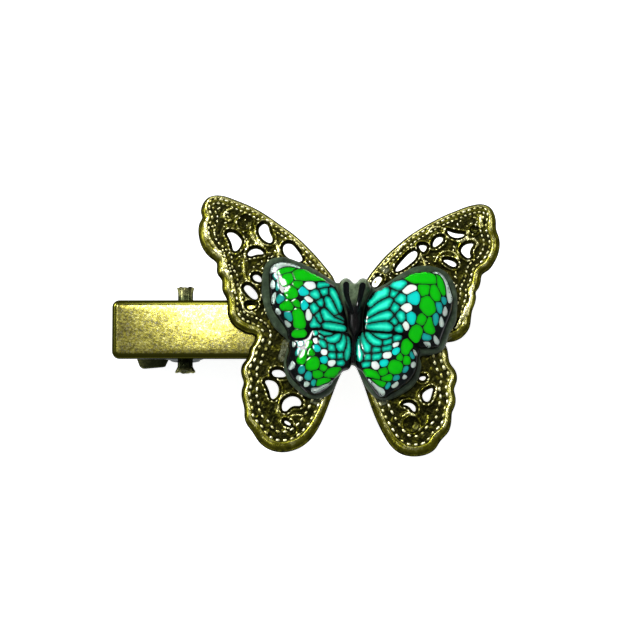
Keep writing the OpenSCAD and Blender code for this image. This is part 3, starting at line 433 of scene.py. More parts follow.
def grain(centre, way, half_length, half_width, half_height):
    """A rounded grain lying along a direction in the plane, as a small closed mesh."""
    side = np.array([-way[1], way[0]])
    n = GRAIN_SIDES
    points = [centre - (0, 0, half_height)]
    for lift, wide in ((-0.5, 0.87), (0.0, 1.0), (0.45, 0.9), (0.8, 0.6)):
        for k in range(n):
            t = 2 * math.pi * k / n
            c = np.sign(math.cos(t)) * abs(math.cos(t)) ** 0.75 * half_length * wide
            s = math.sin(t) * half_width * wide
            points.append([*(centre[:2] + way * c + side * s), centre[2] + lift * half_height])
    points.append(centre + (0, 0, half_height))
    faces = [[0, 1 + (k + 1) % n, 1 + k] for k in range(n)]
    for low in (1, 1 + n, 1 + 2 * n):
        faces += [[low + k, low + (k + 1) % n, low + n + (k + 1) % n, low + n + k] for k in range(n)]
    last = 1 + 4 * n
    faces += [[last - n + k, last - n + (k + 1) % n, last] for k in range(n)]
    return points, faces


# ---- materials --------------------------------------------------------------


def rgb(r, g, b):
    """A colour given in 0 to 255 display values, as the shader wants it."""
    parts = []
    for v in (r, g, b):
        v /= 255
        parts.append(v / 12.92 if v <= 0.04045 else ((v + 0.055) / 1.055) ** 2.4)
    return (*parts, 1.0)


def grey(v):
    return (v, v, v, 1.0)


class Paint:
    """A material under construction, with short ways to add its nodes."""

    def __init__(self, name, **fixed):
        self.material = bpy.data.materials.new(name)
        self.material.use_nodes = True
        self.tree = self.material.node_tree
        self.shader = self.tree.nodes["Principled BSDF"]
        self.place = self.node("ShaderNodeTexCoord").outputs["Object"]
        for key, value in fixed.items():
            self.shader.inputs[key.replace("_", " ")].default_value = value

    def node(self, kind, **settings):
        node = self.tree.nodes.new(kind)
        for key, value in settings.items():
            setattr(node, key, value)
        return node

    def feed(self, socket, value):
        """Give a socket a constant or another node's output."""
        if isinstance(value, (int, float, tuple)):
            socket.default_value = value
        else:
            self.tree.links.new(value, socket)

    def shade(self, name, value):
        self.feed(self.shader.inputs[name], value)

    def noise(self, per_mm, detail=4.0, roughness=0.55, stretch=None):
        """Noise with so many features to a millimetre, stretched in X and Y and then turned."""
        node = self.node("ShaderNodeTexNoise")
        node.inputs["Scale"].default_value = per_mm / MM
        node.inputs["Detail"].default_value = detail
        node.inputs["Roughness"].default_value = roughness
        place = self.place
        if stretch:
            mapping = self.node("ShaderNodeMapping")
            mapping.inputs["Scale"].default_value = (*stretch[:2], 1)
            mapping.inputs["Rotation"].default_value = (0, 0, stretch[2])
            self.feed(mapping.inputs["Vector"], place)
            place = mapping.outputs["Vector"]
        self.feed(node.inputs["Vector"], place)
        return node.outputs["Fac"]

    def attribute(self, name):
        return self.node("ShaderNodeAttribute", attribute_name=name).outputs["Fac"]

    def math(self, operation, *values):
        node = self.node("ShaderNodeMath", operation=operation)
        for socket, value in zip(node.inputs, values):
            self.feed(socket, value)
        return node.outputs[0]

    def ramp(self, value, *stops):
        """Greys (place, grey) or colours (place, r, g, b) at places from 0 to 1."""
        node = self.node("ShaderNodeValToRGB")
        ramp = node.color_ramp
        while len(ramp.elements) < len(stops):
            ramp.elements.new(0.5)
        for element, (at, *tone) in zip(ramp.elements, stops):
            element.position = at
            element.color = rgb(*tone) if len(tone) == 3 else grey(*tone)
        self.feed(node.inputs["Fac"], value)
        return node.outputs["Color"]

    def mix(self, factor, a, b, blend="MIX"):
        node = self.node("ShaderNodeMix", data_type="RGBA", blend_type=blend)
        for number, value in ((0, factor), (6, a), (7, b)):
            self.feed(node.inputs[number], value)
        return node.outputs[2]

    def colour(self, value):
        self.shade("Base Color", value)

    def rough(self, value, low, high):
        node = self.node("ShaderNodeMapRange")
        node.inputs["To Min"].default_value = low
        node.inputs["To Max"].default_value = high
        self.feed(node.inputs["Value"], value)
        self.shade("Roughness", node.outputs["Result"])

    def bump(self, value, depth_mm, coat=False):
        node = self.node("ShaderNodeBump")
        node.inputs["Strength"].default_value = 1.0
        node.inputs["Distance"].default_value = depth_mm * MM
        self.feed(node.inputs["Height"], value)
        self.shade("Normal", node.outputs["Normal"])
        if coat:
            self.shade("Coat Normal", node.outputs["Normal"])


# Reflection of aged metal seen edge on, much weaker than that of clean metal
DULL_EDGE = (0.13, 0.16, 0.17, 1)


def bronze(name, dark, middle, bright, balance, scratch, rough):
    """Antique bronze: patina in the hollows, and lighter on raised parts, partly as polished metal and
    partly as a painted highlight.
    """
    p = Paint(name, Metallic=0.94, Specular_Tint=DULL_EDGE)
    # A higher value gives a lighter colour: real patina and polished metal, and a painted highlight.
    wear_and_highlight = p.math("ADD", p.attribute("proud"), p.math("MULTIPLY", p.noise(1.1, 6, 0.65), 0.9))
    wear_and_highlight = p.math("ADD", wear_and_highlight, balance - 0.45)
    tone = p.ramp(wear_and_highlight, (0.0, *dark), (0.45, *middle), (0.9, *bright))
    spots = p.ramp(p.noise(4.5, 3, 0.7), (0.35, 0.6), (0.6, 1.0))
    p.colour(p.mix(0.6, tone, spots, "MULTIPLY"))
    p.rough(p.noise(2.3, 5, 0.6), *rough)
    p.bump(p.noise(7.0, 5, 0.7), scratch)
    return p.material


def plate_bronze():
    """The clip's plate: mottled yellow bronze covered in short curled scratches."""
    p = Paint("plate_bronze", Metallic=0.92, Coat_Roughness=0.2, Specular_Tint=DULL_EDGE)
    p.shade("Coat Weight", p.math("MULTIPLY", p.attribute("proud"), 0.45))
    blotch = p.noise(0.45, 4, 0.6)
    mottle = p.noise(2.6, 4, 0.7, (0.7, 1.3, 0.5))
    curls = p.math("ABSOLUTE", p.math("SUBTRACT", p.noise(1.6, 2, 0.5, (0.7, 1.3, 0.5)), 0.5))
    strokes = p.math("ABSOLUTE", p.math("SUBTRACT", p.noise(2.1, 2, 0.5, (1.3, 0.6, -0.6)), 0.5))
    blend = p.math("ADD", p.math("MULTIPLY", blotch, 0.3), p.math("MULTIPLY", mottle, 0.7))
    tone = p.ramp(
        blend,
        (0.36, 74, 70, 14),
        (0.46, 122, 114, 28),
        (0.56, 166, 158, 58),
        (0.68, 216, 210, 134),
    )
    dark_marks = p.ramp(curls, (0.0, 0.3), (0.02, 0.65), (0.06, 1.0))
    light_marks = p.ramp(strokes, (0.0, 0.3), (0.02, 0.0))
    face = p.mix(0.8, tone, dark_marks, "MULTIPLY")
    face = p.mix(0.7, face, light_marks, "SCREEN")
    # Painted shade: off the flat top face, on the rounded edge, the sides, the underside and the ears,
    # the colour is one dark olive.
    p.colour(p.mix(p.attribute("proud"), rgb(58, 58, 14), face))
    p.rough(mottle, 0.16, 0.22)
    p.bump(curls, 0.006)
    return p.material


def clay(name, fleck, *stops, shine=1.34):
    """Varnished polymer clay, whose colour deepens towards the edge of each cell."""
    coat = {"Coat_Weight": 1.0, "Coat_Roughness": 0.035, "Coat_IOR": shine}
    p = Paint(name, Roughness=0.42, Specular_IOR_Level=0.0, **coat)
    cloud = p.math("MULTIPLY", p.math("SUBTRACT", p.noise(2.2, 4, 0.6), 0.5), 0.5)
    tone = p.ramp(p.math("ADD", p.attribute("depth"), cloud), *stops)
    speck = p.ramp(p.noise(9.0, 3, 0.7), (0.3, 1 - 2 * fleck), (0.6, 1.0))
    p.colour(p.mix(0.6, tone, speck, "MULTIPLY"))
    p.bump(p.noise(0.55, 3, 0.5), 0.012, coat=True)
    return p.material


def matte_clay():
    """Raw grey green clay of the backing, with a dull sheen and finger marks."""
    p = Paint("backing_clay", Specular_IOR_Level=0.3)
    cloud = p.noise(0.7, 6, 0.6)
    tone = p.ramp(cloud, (0.3, 36, 48, 34), (0.55, 60, 76, 56), (0.75, 90, 108, 82))
    speck = p.ramp(p.noise(8.0, 4, 0.7), (0.36, 0.6), (0.55, 1.0))
    p.colour(p.mix(0.6, tone, speck, "MULTIPLY"))
    p.rough(p.noise(3.0, 4, 0.6), 0.42, 0.62)
    p.bump(p.noise(5.0, 5, 0.65), 0.02)
    return p.material


def body_clay():
    """Near black clay of the body with fine painted glints, turning grey green on the head."""
    coat = {"Coat_Weight": 0.4, "Coat_Roughness": 0.1, "Coat_IOR": 1.3}
    p = Paint("body_clay", Roughness=0.45, Specular_IOR_Level=0.1, **coat)
    cloud = p.noise(1.4, 6, 0.65)
    dark = p.ramp(cloud, (0.3, 4, 3, 3), (0.6, 14, 11, 11), (0.8, 34, 26, 26))
    head = p.ramp(cloud, (0.3, 54, 68, 48), (0.7, 110, 128, 96))
    tone = p.mix(p.attribute("head"), dark, head)
    # Painted glints: fine light specks screened over the colour.
    painted_glints = p.ramp(p.noise(14.0, 2, 0.5), (0.68, 0.0), (0.76, 0.5))
    p.colour(p.mix(0.5, tone, painted_glints, "SCREEN"))
    p.bump(p.noise(4.0, 5, 0.65), 0.02, coat=True)
    return p.material


def glue_paint():
    """Dried glue, a thin cloudy film that lets the bronze show through."""
    p = Paint("dried_glue")
    cloud = p.noise(1.8, 5, 0.6)
    p.colour(p.ramp(cloud, (0.35, 96, 104, 70), (0.65, 190, 196, 160)))
    p.shade("Alpha", p.ramp(cloud, (0.35, 0.15), (0.7, 0.5)))
    p.rough(p.noise(2.5, 4, 0.6), 0.12, 0.4)
    p.bump(p.noise(2.2, 4, 0.6), 0.03)
    return p.material


def steel_paint():
    """Spring wire, dull nickel with a few darker rings."""
    p = Paint("spring_wire", Metallic=1.0)
    p.colour(p.ramp(p.noise(1.5, 5, 0.6), (0.3, 120, 116, 104), (0.7, 186, 182, 170)))
    p.rough(p.noise(5.0, 4, 0.6), 0.2, 0.42)
    p.bump(p.noise(9.0, 4, 0.7), 0.004)
    return p.material


# The near white bright tones of the stamping and of the beads are a painted highlight, over the
# polished metal.
filigree_paint = bronze(
    "filigree_bronze", (28, 28, 8), (108, 106, 26), (250, 244, 176), 0.0, 0.02, (0.1, 0.26)
)
bead_paint = bronze(
    "bead_bronze", (74, 70, 16), (176, 168, 76), (250, 246, 196), 0.1, 0.008, (0.2, 0.36)
)
# Painted shade: the lower arm's bronze is made darker all over, as it lies under the plate, in shade.
shaded_clip_paint = bronze(
    "shaded_clip_bronze", (20, 22, 12), (48, 52, 30), (110, 110, 66), -0.1, 0.005, (0.26, 0.5)
)
pin_paint = bronze(
    "pin_bronze", (20, 24, 16), (62, 68, 42), (196, 192, 130), -0.05, 0.008, (0.16, 0.34)
)

# ---- camera, floor and light --------------------------------------------------

scene = bpy.context.scene
scene.view_settings.view_transform = "Standard"
scene.view_settings.look = "None"

# The camera looks down steeply from afar, in metres
AIM = Vector((2.31, 0.93, 11.65)) * MM
TILT = math.radians(82)
FAR = 0.6
VIEW_WIDTH = 0.10667
camera_data = bpy.data.cameras.new("camera")
camera_data.sensor_width = 36
camera_data.lens = camera_data.sensor_width * FAR / VIEW_WIDTH
camera = bpy.data.objects.new("camera", camera_data)
camera.location = AIM + FAR * Vector((0, -math.cos(TILT), math.sin(TILT)))
camera.rotation_euler = (AIM - camera.location).to_track_quat("-Z", "Y").to_euler()
scene.collection.objects.link(camera)
scene.camera = camera

world = bpy.data.worlds.new("studio")
world.use_nodes = True
sky = world.node_tree.nodes["Background"].inputs
sky["Color"].default_value = (0.93, 0.97, 1.0, 1)
sky["Strength"].default_value = 0.32
scene.world = world


def lamp(name, kind, energy, place, aim, **settings):
    """A lamp in millimetres, turned towards a point, and itself unseen."""
    data = bpy.data.lights.new(name, kind)
    data.energy = energy
    for key, value in settings.items():
        setattr(data, key, value)
    obj = bpy.data.objects.new(name, data)
    obj.location = Vector(place) * MM
    obj.rotation_euler = (Vector(aim) * MM - obj.location).to_track_quat("-Z", "Y").to_euler()
    obj.visible_camera = False
    scene.collection.objects.link(obj)
    return obj


KEY = (-230, 290, 440)


def sun(name, energy, way, degrees, group=None):
    """A sun that shines from a direction, on everything or on one group of pieces."""
    aim = AIM / MM
    obj = lamp(name, "SUN", energy, aim + Vector(way), aim, angle=math.radians(degrees))
    if group:
        obj.light_linking.receiver_collection = group
    return obj


# The varnish and the metal have their own highlights, so each keeps a few clean glints
GROUPS = ("bright_metal", "every_metal", "plate_only", "left_varnish", "right_varnish")
metal, every_metal, plate_only, left, right = (bpy.data.collections.new(n) for n in GROUPS)
varnish = {"left": left, "right": right}
sun("key_sun", 2.8, KEY, 14).visible_glossy = False
sun("metal_sun", 2.5, (-250, 190, 440), 14, every_metal)
sun("fore_varnish_sun", 4.2, (-205, 160, 460), 18, left).visible_diffuse = False
sun("hind_varnish_sun", 2.6, KEY, 12, left).visible_diffuse = False
sun("right_varnish_sun", 2.6, (-360, 60, 300), 8, right).visible_diffuse = False
GLINTS = [
    # place in millimetres, side in metres, radiance, pieces lit
    ((-46, 118, 430), 0.11, 3.0, metal),
    ((-250, 160, 330), 0.09, 16.0, metal),
    ((-360, 20, 200), 0.12, 12.0, metal),
    ((-90, 330, 260), 0.12, 13.0, metal),
    ((190, 300, 260), 0.12, 10.0, metal),
    ((330, 60, 300), 0.08, 10.0, metal),
    ((-150, -170, 400), 0.06, 12.0, metal),
    ((120, 60, 430), 0.05, 13.0, metal),
    ((-18, 22, 72), 0.022, 20.0, plate_only),
]
for number, (place, wide, radiance, group) in enumerate(GLINTS):
    box = lamp(
        f"glint_{number}",
        "AREA",
        radiance * math.pi * wide * wide,
        place,
        (place[0] / 2, place[1] / 2, 12),
        shape="SQUARE",
        size=wide,
    )
    box.light_linking.receiver_collection = group

FLOOR_HALF = 0.9
corners = [(x * FLOOR_HALF, y * FLOOR_HALF, 0) for x, y in ((-1, -1), (1, -1), (1, 1), (-1, 1))]
floor_mesh = bpy.data.meshes.new("floor")
floor_mesh.from_pydata(corners, [], [(0, 1, 2, 3)])
floor = bpy.data.objects.new("floor", floor_mesh)
scene.collection.objects.link(floor)
paper = Paint("floor_paper", Roughness=0.85, Emission_Color=grey(1), Emission_Strength=0.85)
paper.colour(paper.ramp(paper.noise(0.02, 2), (0.3, 0.9), (0.7, 0.93)))
floor_mesh.materials.append(paper.material)

# ---- stamped butterfly --------------------------------------------------------


def underside(node, height):
    """Outline of a node's face that looks down at a height."""
    return max(flat_loops(node, 2, height, -1)[0], key=area)


stamped_edge = rounded(underside("filigree_butterfly", RIM_LOW), 0.3)
stamped_holes = flat_loops("filigree_butterfly", 2, FIELD_LOW, -1)[1]
stamped_holes = [rounded(hole, 0.2) for hole in stamped_holes]
clay_edge = underside("clay_backing", CLAY_LOW)


def here(*points):
    """Points given about the middle of the stamped butterfly, moved to the frame."""
    return np.array(points, float) + FILIGREE_AT


# Raised veins, strips and curls: line, half width and height
VEINS = [
    ([(-23.9, 17.6), (-23.5, 15.4), (-22.2, 13.4), (-21.3, 12.3)], 0.34, 0.34),
    ([(-20.7, 11.7), (-20.3, 9.4), (-19.4, 8), (-19.2, 6.2)], 0.3, 0.32),
    ([(-19.5, 20.2), (-20.4, 19.9), (-21, 19.1), (-20.6, 18.2), (-19.7, 18.2)], 0.28, 0.3),
    ([(-14.6, 14), (-15.9, 14.9), (-16.3, 16)], 0.42, 0.3),
    ([(-16.8, 14.7), (-17.4, 12), (-17.6, 9.6), (-17, 8)], 0.26, 0.28),
    ([(-12.2, 14.6), (-11.7, 12.6), (-11.8, 11.2)], 0.26, 0.34),
    ([(-18.1, 6.2), (-18, 4.4), (-17.2, 2.8), (-15.6, 2.4)], 0.26, 0.3),
    ([(-17, 4.8), (-14.9, 4.7)], 0.24, 0.24),
    ([(-9.7, 10.4), (-8.4, 10.3), (-6.8, 10.5)], 0.26, 0.26),
    ([(13.1, 15.9), (13.6, 16.9), (15, 17.2), (16.1, 16.6)], 0.22, 0.28),
    ([(14.4, 11.2), (15, 12.6), (16.3, 13.1), (17.6, 12.8), (18.3, 11.6)], 0.22, 0.3),
    ([(18.2, 14.5), (19.6, 15.2), (21, 15), (21.6, 14.1)], 0.22, 0.28),
    ([(22, 18.9), (22.1, 17.2)], 0.42, 0.3),
    ([(19.4, 3.5), (18.8, 2), (18, 0.4)], 0.34, 0.32),
    ([(20.6, 7), (20.2, 4.6), (19.6, 2.4)], 0.26, 0.26),
    ([(11.9, 12.2), (12.8, 10.9), (12.4, 9.9)], 0.26, 0.3),
    ([(9.2, 14.1), (7.8, 12.6), (6, 10.6)], 0.22, 0.24),
    ([(-9.5, -14.6), (-8.6, -14.4), (-7.8, -14.6)], 0.22, 0.28),
    ([(-11.6, -14.8), (-12, -13.9), (-11.9, -13)], 0.22, 0.24),
    ([(7.6, -11.1), (9.6, -10.2), (11, -8.7)], 0.2, 0.3),
    ([(8.8, -14.7), (9.8, -14.1), (10.7, -14.5)], 0.24, 0.3),
    ([(14, -11.3), (14.3, -10)], 0.42, 0.32),
    ([(11.5, -17), (12.4, -16.4), (13.2, -15.2), (13, -14.6)], 0.18, 0.26),
]
# Round dishes: middle and radius
DISHES = [((-17.3, 17.9), 1.45), ((10.3, -16.1), 1.5), ((-9.6, -16.9), 1.0), ((20.9, 16.6), 0.9)]
vein_lines = [(along(softened(here(*p), 2, False), 0.25)[0], w, h) for p, w, h in VEINS]

edge_line = spaced(stamped_edge, 0.25)
edge_way = np.roll(edge_line, -6, axis=0) - np.roll(edge_line, 6, axis=0)
edge_way /= np.linalg.norm(edge_way, axis=1)[:, None]
edge_inward = np.column_stack([-edge_way[:, 1], edge_way[:, 0]])
# Where the upper wings end and the lower wings begin, in Y
WAIST = FILIGREE_AT[1] - 0.8


def edge_depths(costal, fore_side, side, bottom):
    """A depth for every point of the edge: upper edges, sides of both pairs, wings' bottoms."""
    up = -edge_way[:, 0]
    depth = np.where(
        edge_line[:, 1] > WAIST,
        fore_side + (costal - fore_side) * smooth_step((up - 0.2) / 0.4),
        side + (bottom - side) * smooth_step((-up - 0.1) / 0.6),
    )
    return np.convolve(np.concatenate([depth[-6:], depth, depth[:6]]), np.ones(13) / 13, "valid")


rim_depths = edge_depths(0.5, 1.25, 0.95, 1.45)


def rim_width(points):
    """Width of the turned down rim at the part of the edge nearest to each point."""

    def nearest(x, y):
        return rim_depths[np.argmin((x - edge_line[:, 0]) ** 2 + (y - edge_line[:, 1]) ** 2, 1)]

    return in_batches(points, nearest)


# Distance from an opening to the crest of the ring round it
RING_AT = 0.6


def stamped_top(points, gap=None):
    """Height of the stamped sheet's upper face."""
    edge = distance(points, [stamped_edge])
    hole = distance(points, stamped_holes)
    rim = rim_width(points)
    rise = np.clip(edge / rim, 0, 1)
    z = FIELD_TOP - 0.85 + 0.95 * (1 - (1 - rise) ** 2) ** 0.7
    z -= 0.24 * smooth_step((edge - rim) / 0.3)
    inner = smooth_step((edge - rim) / 0.5)
    crest = np.exp(-(((hole - RING_AT) / 0.2) ** 2))
    well = smooth_step(1 - hole / RING_AT)
    z += inner * (0.3 * crest - 0.3 * well)
    for line, width, height in vein_lines:
        near = ((points > line.min(0) - 1.5) & (points < line.max(0) + 1.5)).all(1)
        off = distance(points[near], [line], closed=False)
        z[near] += height * np.exp(-((off / width) ** 4))
    for centre, radius in DISHES:
        off = np.linalg.norm(points - here(centre), axis=1)
        z += 0.3 * np.exp(-(((off - radius) / 0.16) ** 2)) - 0.3 * smooth_step(1.15 - off / radius)
    z += inner * (0.03 * ripple(points, 2.4, 0.4) + 0.035 * ripple(points, 1.1, 2.0))
    return np.clip(z, FIELD_LOW - 0.3, CLAY_LOW - 0.04)


def stamped_bottom(points, gap):
    """Height of its lower face: a thin sheet with the edge turned down."""
    edge = distance(points, [stamped_edge])
    low = RIM_LOW + 0.03
    return low + (stamped_top(points) - 0.48 - low) * smooth_step(edge / 0.8)


shape, gap = shell([stamped_edge] + stamped_holes, 0.17, stamped_top, stamped_bottom, (0.03, 0.1))
points = shape[0]
edge_off = distance(points[:, :2], [stamped_edge])
# Lighter where the sheet stands high: patina in the hollows, a painted highlight on the raised parts
# and painted shade on the turned down edge.
proud = smooth_step((points[:, 2] - FIELD_TOP + 0.12) / 0.42) * 0.8
# Painted highlight: a lighter band along the rim, about 0.7 mm in from the edge.
proud += 0.3 * np.exp(-(((edge_off - 0.7) / 0.45) ** 2))
# The lower face takes one fixed low value.
proud[len(points) // 2 :] = 0.25
stamping = ("filigree_butterfly", "aged_bronze_stamping", filigree_paint, metal, every_metal)
piece("filigree_sheet", shape, ARM, *stamping, crease=50, proud=proud)


def edge_row(depths, pitch, upper):
    """Places and directions of a row of beads that follows the edge of the upper or lower wings."""
    depth = edge_depths(*depths)
    row = edge_line + edge_inward * depth[:, None]
    keep = distance(row, [stamped_edge]) > 0.82 * depth
    keep &= (row[:, 1] > WAIST) == upper
    found = []
    for run in np.split(np.arange(len(row)), np.flatnonzero(~keep)):
        run = run[keep[run]]
        if len(run) >= 8:
            found += zip(*along(row[run], pitch))
    return found


bead_places = []


def add_beads(found, size, hole_room, spread):
    """Beads of a half length, width and height, clear of the openings and of earlier beads."""
    if not found:
        return []
    places = np.array([place for place, _ in found])
    hole = distance(places, stamped_holes)
    edge = distance(places, [stamped_edge])
    covered = within(places, [inset(clay_edge, 1.2)])
    kept = (hole >= hole_room) & (edge >= 0.4) & ~covered
    heights = stamped_top(places)
    parts = []
    for (place, way), free, z in zip(found, kept, heights):
        if not free:
            continue
        if bead_places and np.min(np.linalg.norm(np.array(bead_places) - place, axis=1)) < spread:
            continue
        bead_places.append(place)
        longer = 1 + 0.16 * math.sin(37 * place[0] + 11 * place[1])
        top = min(z + 0.03, CLAY_LOW - 0.03 - size[2])
        parts.append(grain(np.array([*place, top]), way, size[0] * longer, *size[1:]))
    return parts


# Rows that follow the edge: depths, pitch, upper wings or lower, half sizes and spread
BEAD_ROWS = [
    ((0.78, 1.75, 1.3, 1.8), 0.95, True, (0.33, 0.19, 0.22), 0.6),
    ((1.5, 2.7, 2.5, 3.2), 0.8, True, (0.27, 0.17, 0.22), 0.55),
    ((0.78, 1.75, 1.35, 1.85), 1.2, False, (0.4, 0.25, 0.26), 0.7),
    ((1.6, 2.7, 2.5, 3.25), 1.2, False, (0.38, 0.23, 0.26), 0.7),
]
beads = []
for depths, pitch, upper, size, spread in BEAD_ROWS:
    beads += add_beads(edge_row(depths, pitch, upper), size, 0.3, spread)
rope = softened(here((-22.9, 17.7), (-22.2, 15.2), (-20.4, 12), (-19.5, 9), (-18.9, 5.8)), 2, False)
beads += add_beads(list(zip(*along(rope, 0.56))), (0.2, 0.19, 0.2), 0.25, 0.36)
for hole in stamped_holes:
    ring = spaced(inset(spaced(hole, 0.3), -RING_AT), 0.8)
    ways = np.roll(ring, -1, axis=0) - np.roll(ring, 1, axis=0)
    ways /= np.linalg.norm(ways, axis=1)[:, None]
    kept = rng.random(len(ring)) < 0.6
    beads += add_beads(list(zip(ring[kept], ways[kept])), (0.24, 0.12, 0.14), 0.35, 0.5)

# loose grains between the rows, on the upper wings only
GRAINS = 2600
scatter = []
for place in rng.uniform(stamped_edge.min(0), stamped_edge.max(0), (GRAINS, 2)):
    turn = rng.uniform(0, math.pi)
    scatter.append((place, np.array([math.cos(turn), math.sin(turn)])))
sheet_area = [inset(spaced(stamped_edge, 1.0), 1.5)] + stamped_holes
inside = within(np.array([place for place, _ in scatter]), sheet_area)
scatter = [s for s, keep in zip(scatter, inside) if keep and s[0][1] > FILIGREE_AT[1]]
beads += add_beads(scatter[::2], (0.3, 0.14, 0.15), 0.4, 0.7)
beads += add_beads(scatter[1::2], (0.17, 0.11, 0.12), 0.4, 0.55)
proud = [np.full(len(bead[0]), 0.45 + 0.4 * math.sin(2.4 * k) ** 2) for k, bead in enumerate(beads)]
beading = (None, "aged_bronze_stamping", bead_paint, metal, every_metal)
piece("filigree_beading", joined(beads), ARM, *beading, proud=np.concatenate(proud))

# ---- glue ---------------------------------------------------------------------

dried_glue = glue_paint()
seat = spaced(inset(rounded(clay_edge, 0.5), 0.7), 0.5)
bed = shell([seat], 0.6, CLAY_LOW + 0.01, lambda p, d: FIELD_TOP - 0.25 + round_off(d, 0.2))[0]
# Smears squeezed out: middle, half length, half width and turn
SMEARS = [
    ((-10.5, -3.4), 2.2, 0.9, 1.15),
    ((5.5, -12.2), 1.2, 0.55, 0.1),
    ((-5.1, -11.9), 1.3, 0.7, 0.5),
    ((5.8, 9.9), 1.0, 0.75, 0.9),
    ((16.3, -1.4), 0.8, 0.6, 0.3),
    ((-12.9, 9.9), 1.1, 0.6, 0.6),
]
parts = [bed]
for centre, long, wide, turn in SMEARS:
    t = np.arange(40) * 2 * math.pi / 40
    wobble = 1 + 0.13 * np.sin(3 * t + 5 * long) + 0.08 * np.sin(5 * t + 9 * wide)
    loop = np.column_stack([long * wobble * np.cos(t), wide * wobble * np.sin(t)])
    c, s = math.cos(turn), math.sin(turn)
    loop = loop @ np.array([[c, s], [-s, c]]) + here(centre)

    def smear_top(p, d):
        return FIELD_TOP - 0.1 + 0.16 * smooth_step(d / wide) + 0.02 * ripple(p, 1.6)

    parts.append(shell([loop], 0.25, smear_top, FIELD_TOP - 0.35, (0.06,))[0])
piece("clay_glue_squeeze", joined(parts), ARM, "clay_glue", "glue", dried_glue, crease=38)

pad_low, pad_high = box_of("clip_glue")
x0, y0, x1, y1 = FILIGREE_AT[0] - 12.6, pad_low[1], pad_high[0], pad_high[1]
pad = np.array([(x0, y0), (x1, y0), (x1, y1), (x0, y1)])
pad = spaced(softened(inset(spaced(pad, 1.0), 0.3), 2), 0.6)
pad = pad + 0.22 * np.column_stack([ripple(pad, 4.0, 1.0), ripple(pad, 3.1, 2.0)])
pad_top = pad_high[2] + 0.05
shape, _ = shell(
    [pad], 0.6, lambda p, d: pad_top - 0.25 * round_off(d, 0.8), PLATE_TOP - 0.02, (0.1, 0.3)
)
piece("clip_glue_pad", shape, ARM, "clip_glue", "glue", dried_glue, crease=38)

# ---- clay butterfly -----------------------------------------------------------


FILM_STEPS = 1400


def swell(loops, cell=0.2):
    """A smooth swelling over loops that meet, 0 at the edge and 1 at most: a soap film's shape."""
    every = np.vstack(loops)
    low = every.min(0) - 2 * cell
    count = np.ceil((every.max(0) - low) / cell).astype(int) + 3
    grid = low + cell * np.stack(np.indices(count), -1).reshape(-1, 2)
    mask = np.any([within(grid, [loop]) for loop in loops], axis=0).reshape(count)
    film = np.zeros(count)
    for _ in range(FILM_STEPS):
        film[1:-1, 1:-1] = (
            film[:-2, 1:-1] + film[2:, 1:-1] + film[1:-1, :-2] + film[1:-1, 2:] + cell * cell
        ) / 4
        film *= mask
    film /= film.max()

    def at(points):
        u = np.clip((points - low) / cell, 0, count - 1.001)
        i, j = u.astype(int).T
        x, y = (u - u.astype(int)).T
        near = film[i, j] * (1 - x) + film[i + 1, j] * x
        far = film[i, j + 1] * (1 - x) + film[i + 1, j + 1] * x
        return near * (1 - y) + far * y

    return at


# Radius of a slice's edge where it meets its partner
SEAM_ROUND = 0.2


def domed(loop, low, height, edge_round, share, partner=None):
    """A function that gives the height of a dome over a loop.

    Towards a partner loop that touches it the dome falls less, and its edge is sharper.
    """
    film = swell([loop])
    shared = swell([loop, partner]) if partner is not None else film

    def at(points, gap=None):
        bend = edge_round
        if partner is not None:
            free = smooth_step((distance(points, [partner]) - 0.35) / 0.6)
            bend = SEAM_ROUND + (edge_round - SEAM_ROUND) * free
        off = np.clip(distance(points, [loop]) / bend, 0, 1)
        rise = np.sqrt(np.maximum(1 - (1 - off) ** 2, 0))
        lift = np.clip((film(points) + shared(points)) / 2, 0, 1)
        body = share + (1 - share) * lift**0.8
        return low + height * rise * body + 0.012 * ripple(points, 2.6, low)

    return at


def bulging(loop, step, most, reach, *centres):
    """A loop moved outwards by up to most near places about the middle of the clay butterfly."""
    off = np.array([((loop - CLAY_AT - centre) ** 2).sum(1) for centre in centres])
    return widened(loop, most * np.exp(-off / reach**2).sum(0), step)


shape, _ = shell(
    [bulging(rounded(clay_edge, 0.35), 0.35, 0.55, 3.6, (-13.2, 9.6))],
    0.4,
    lambda p, d: BACKING_TOP - 0.92 * round_off(d, 0.9) + 0.03 * ripple(p, 2.2, 1.0),
    lambda p, d: CLAY_LOW + 0.6 * round_off(d, 0.25),
    (0.04, 0.12, 0.25, 0.45, 0.7),
)
piece("clay_backing_skirt", shape, ARM, "clay_backing", "backing_clay", matte_clay())

black_clay = clay("black_clay", 0.05, (0.0, 3, 7, 7), (0.5, 7, 12, 12), (1.0, 12, 20, 19), shine=1.26)
# Each kind of cell's fleck, and its tones from the edge inwards
CELL_TONES = {
    "fan": (0.04, (0.0, 0, 52, 44), (0.2, 0, 144, 118), (0.5, 0, 214, 174), (1.0, 54, 255, 224)),
    "green": (0.03, (0.0, 0, 96, 0), (0.14, 0, 176, 0), (1.0, 0, 196, 0)),
    "turquoise": (0.03, (0.0, 0, 110, 104), (0.15, 0, 196, 184), (1.0, 0, 226, 210)),
    "teal": (0.05, (0.0, 0, 96, 88), (0.2, 14, 150, 136), (1.0, 24, 172, 156)),
    "white": (0.02, (0.0, 150, 180, 168), (0.16, 222, 238, 230), (1.0, 244, 252, 248)),
    "edge": (0.05, (0.0, 110, 132, 122), (0.2, 176, 196, 186), (1.0, 204, 218, 210)),
}
CELL_SLOTS = {kind: f"{kind}_clay" for kind in CELL_TONES} | {"edge": "grey_white_clay"}
paints = {kind: clay(CELL_SLOTS[kind], *tones) for kind, tones in CELL_TONES.items()}

body_edge = rounded(underside("clay_body", BACKING_TOP), 0.2)
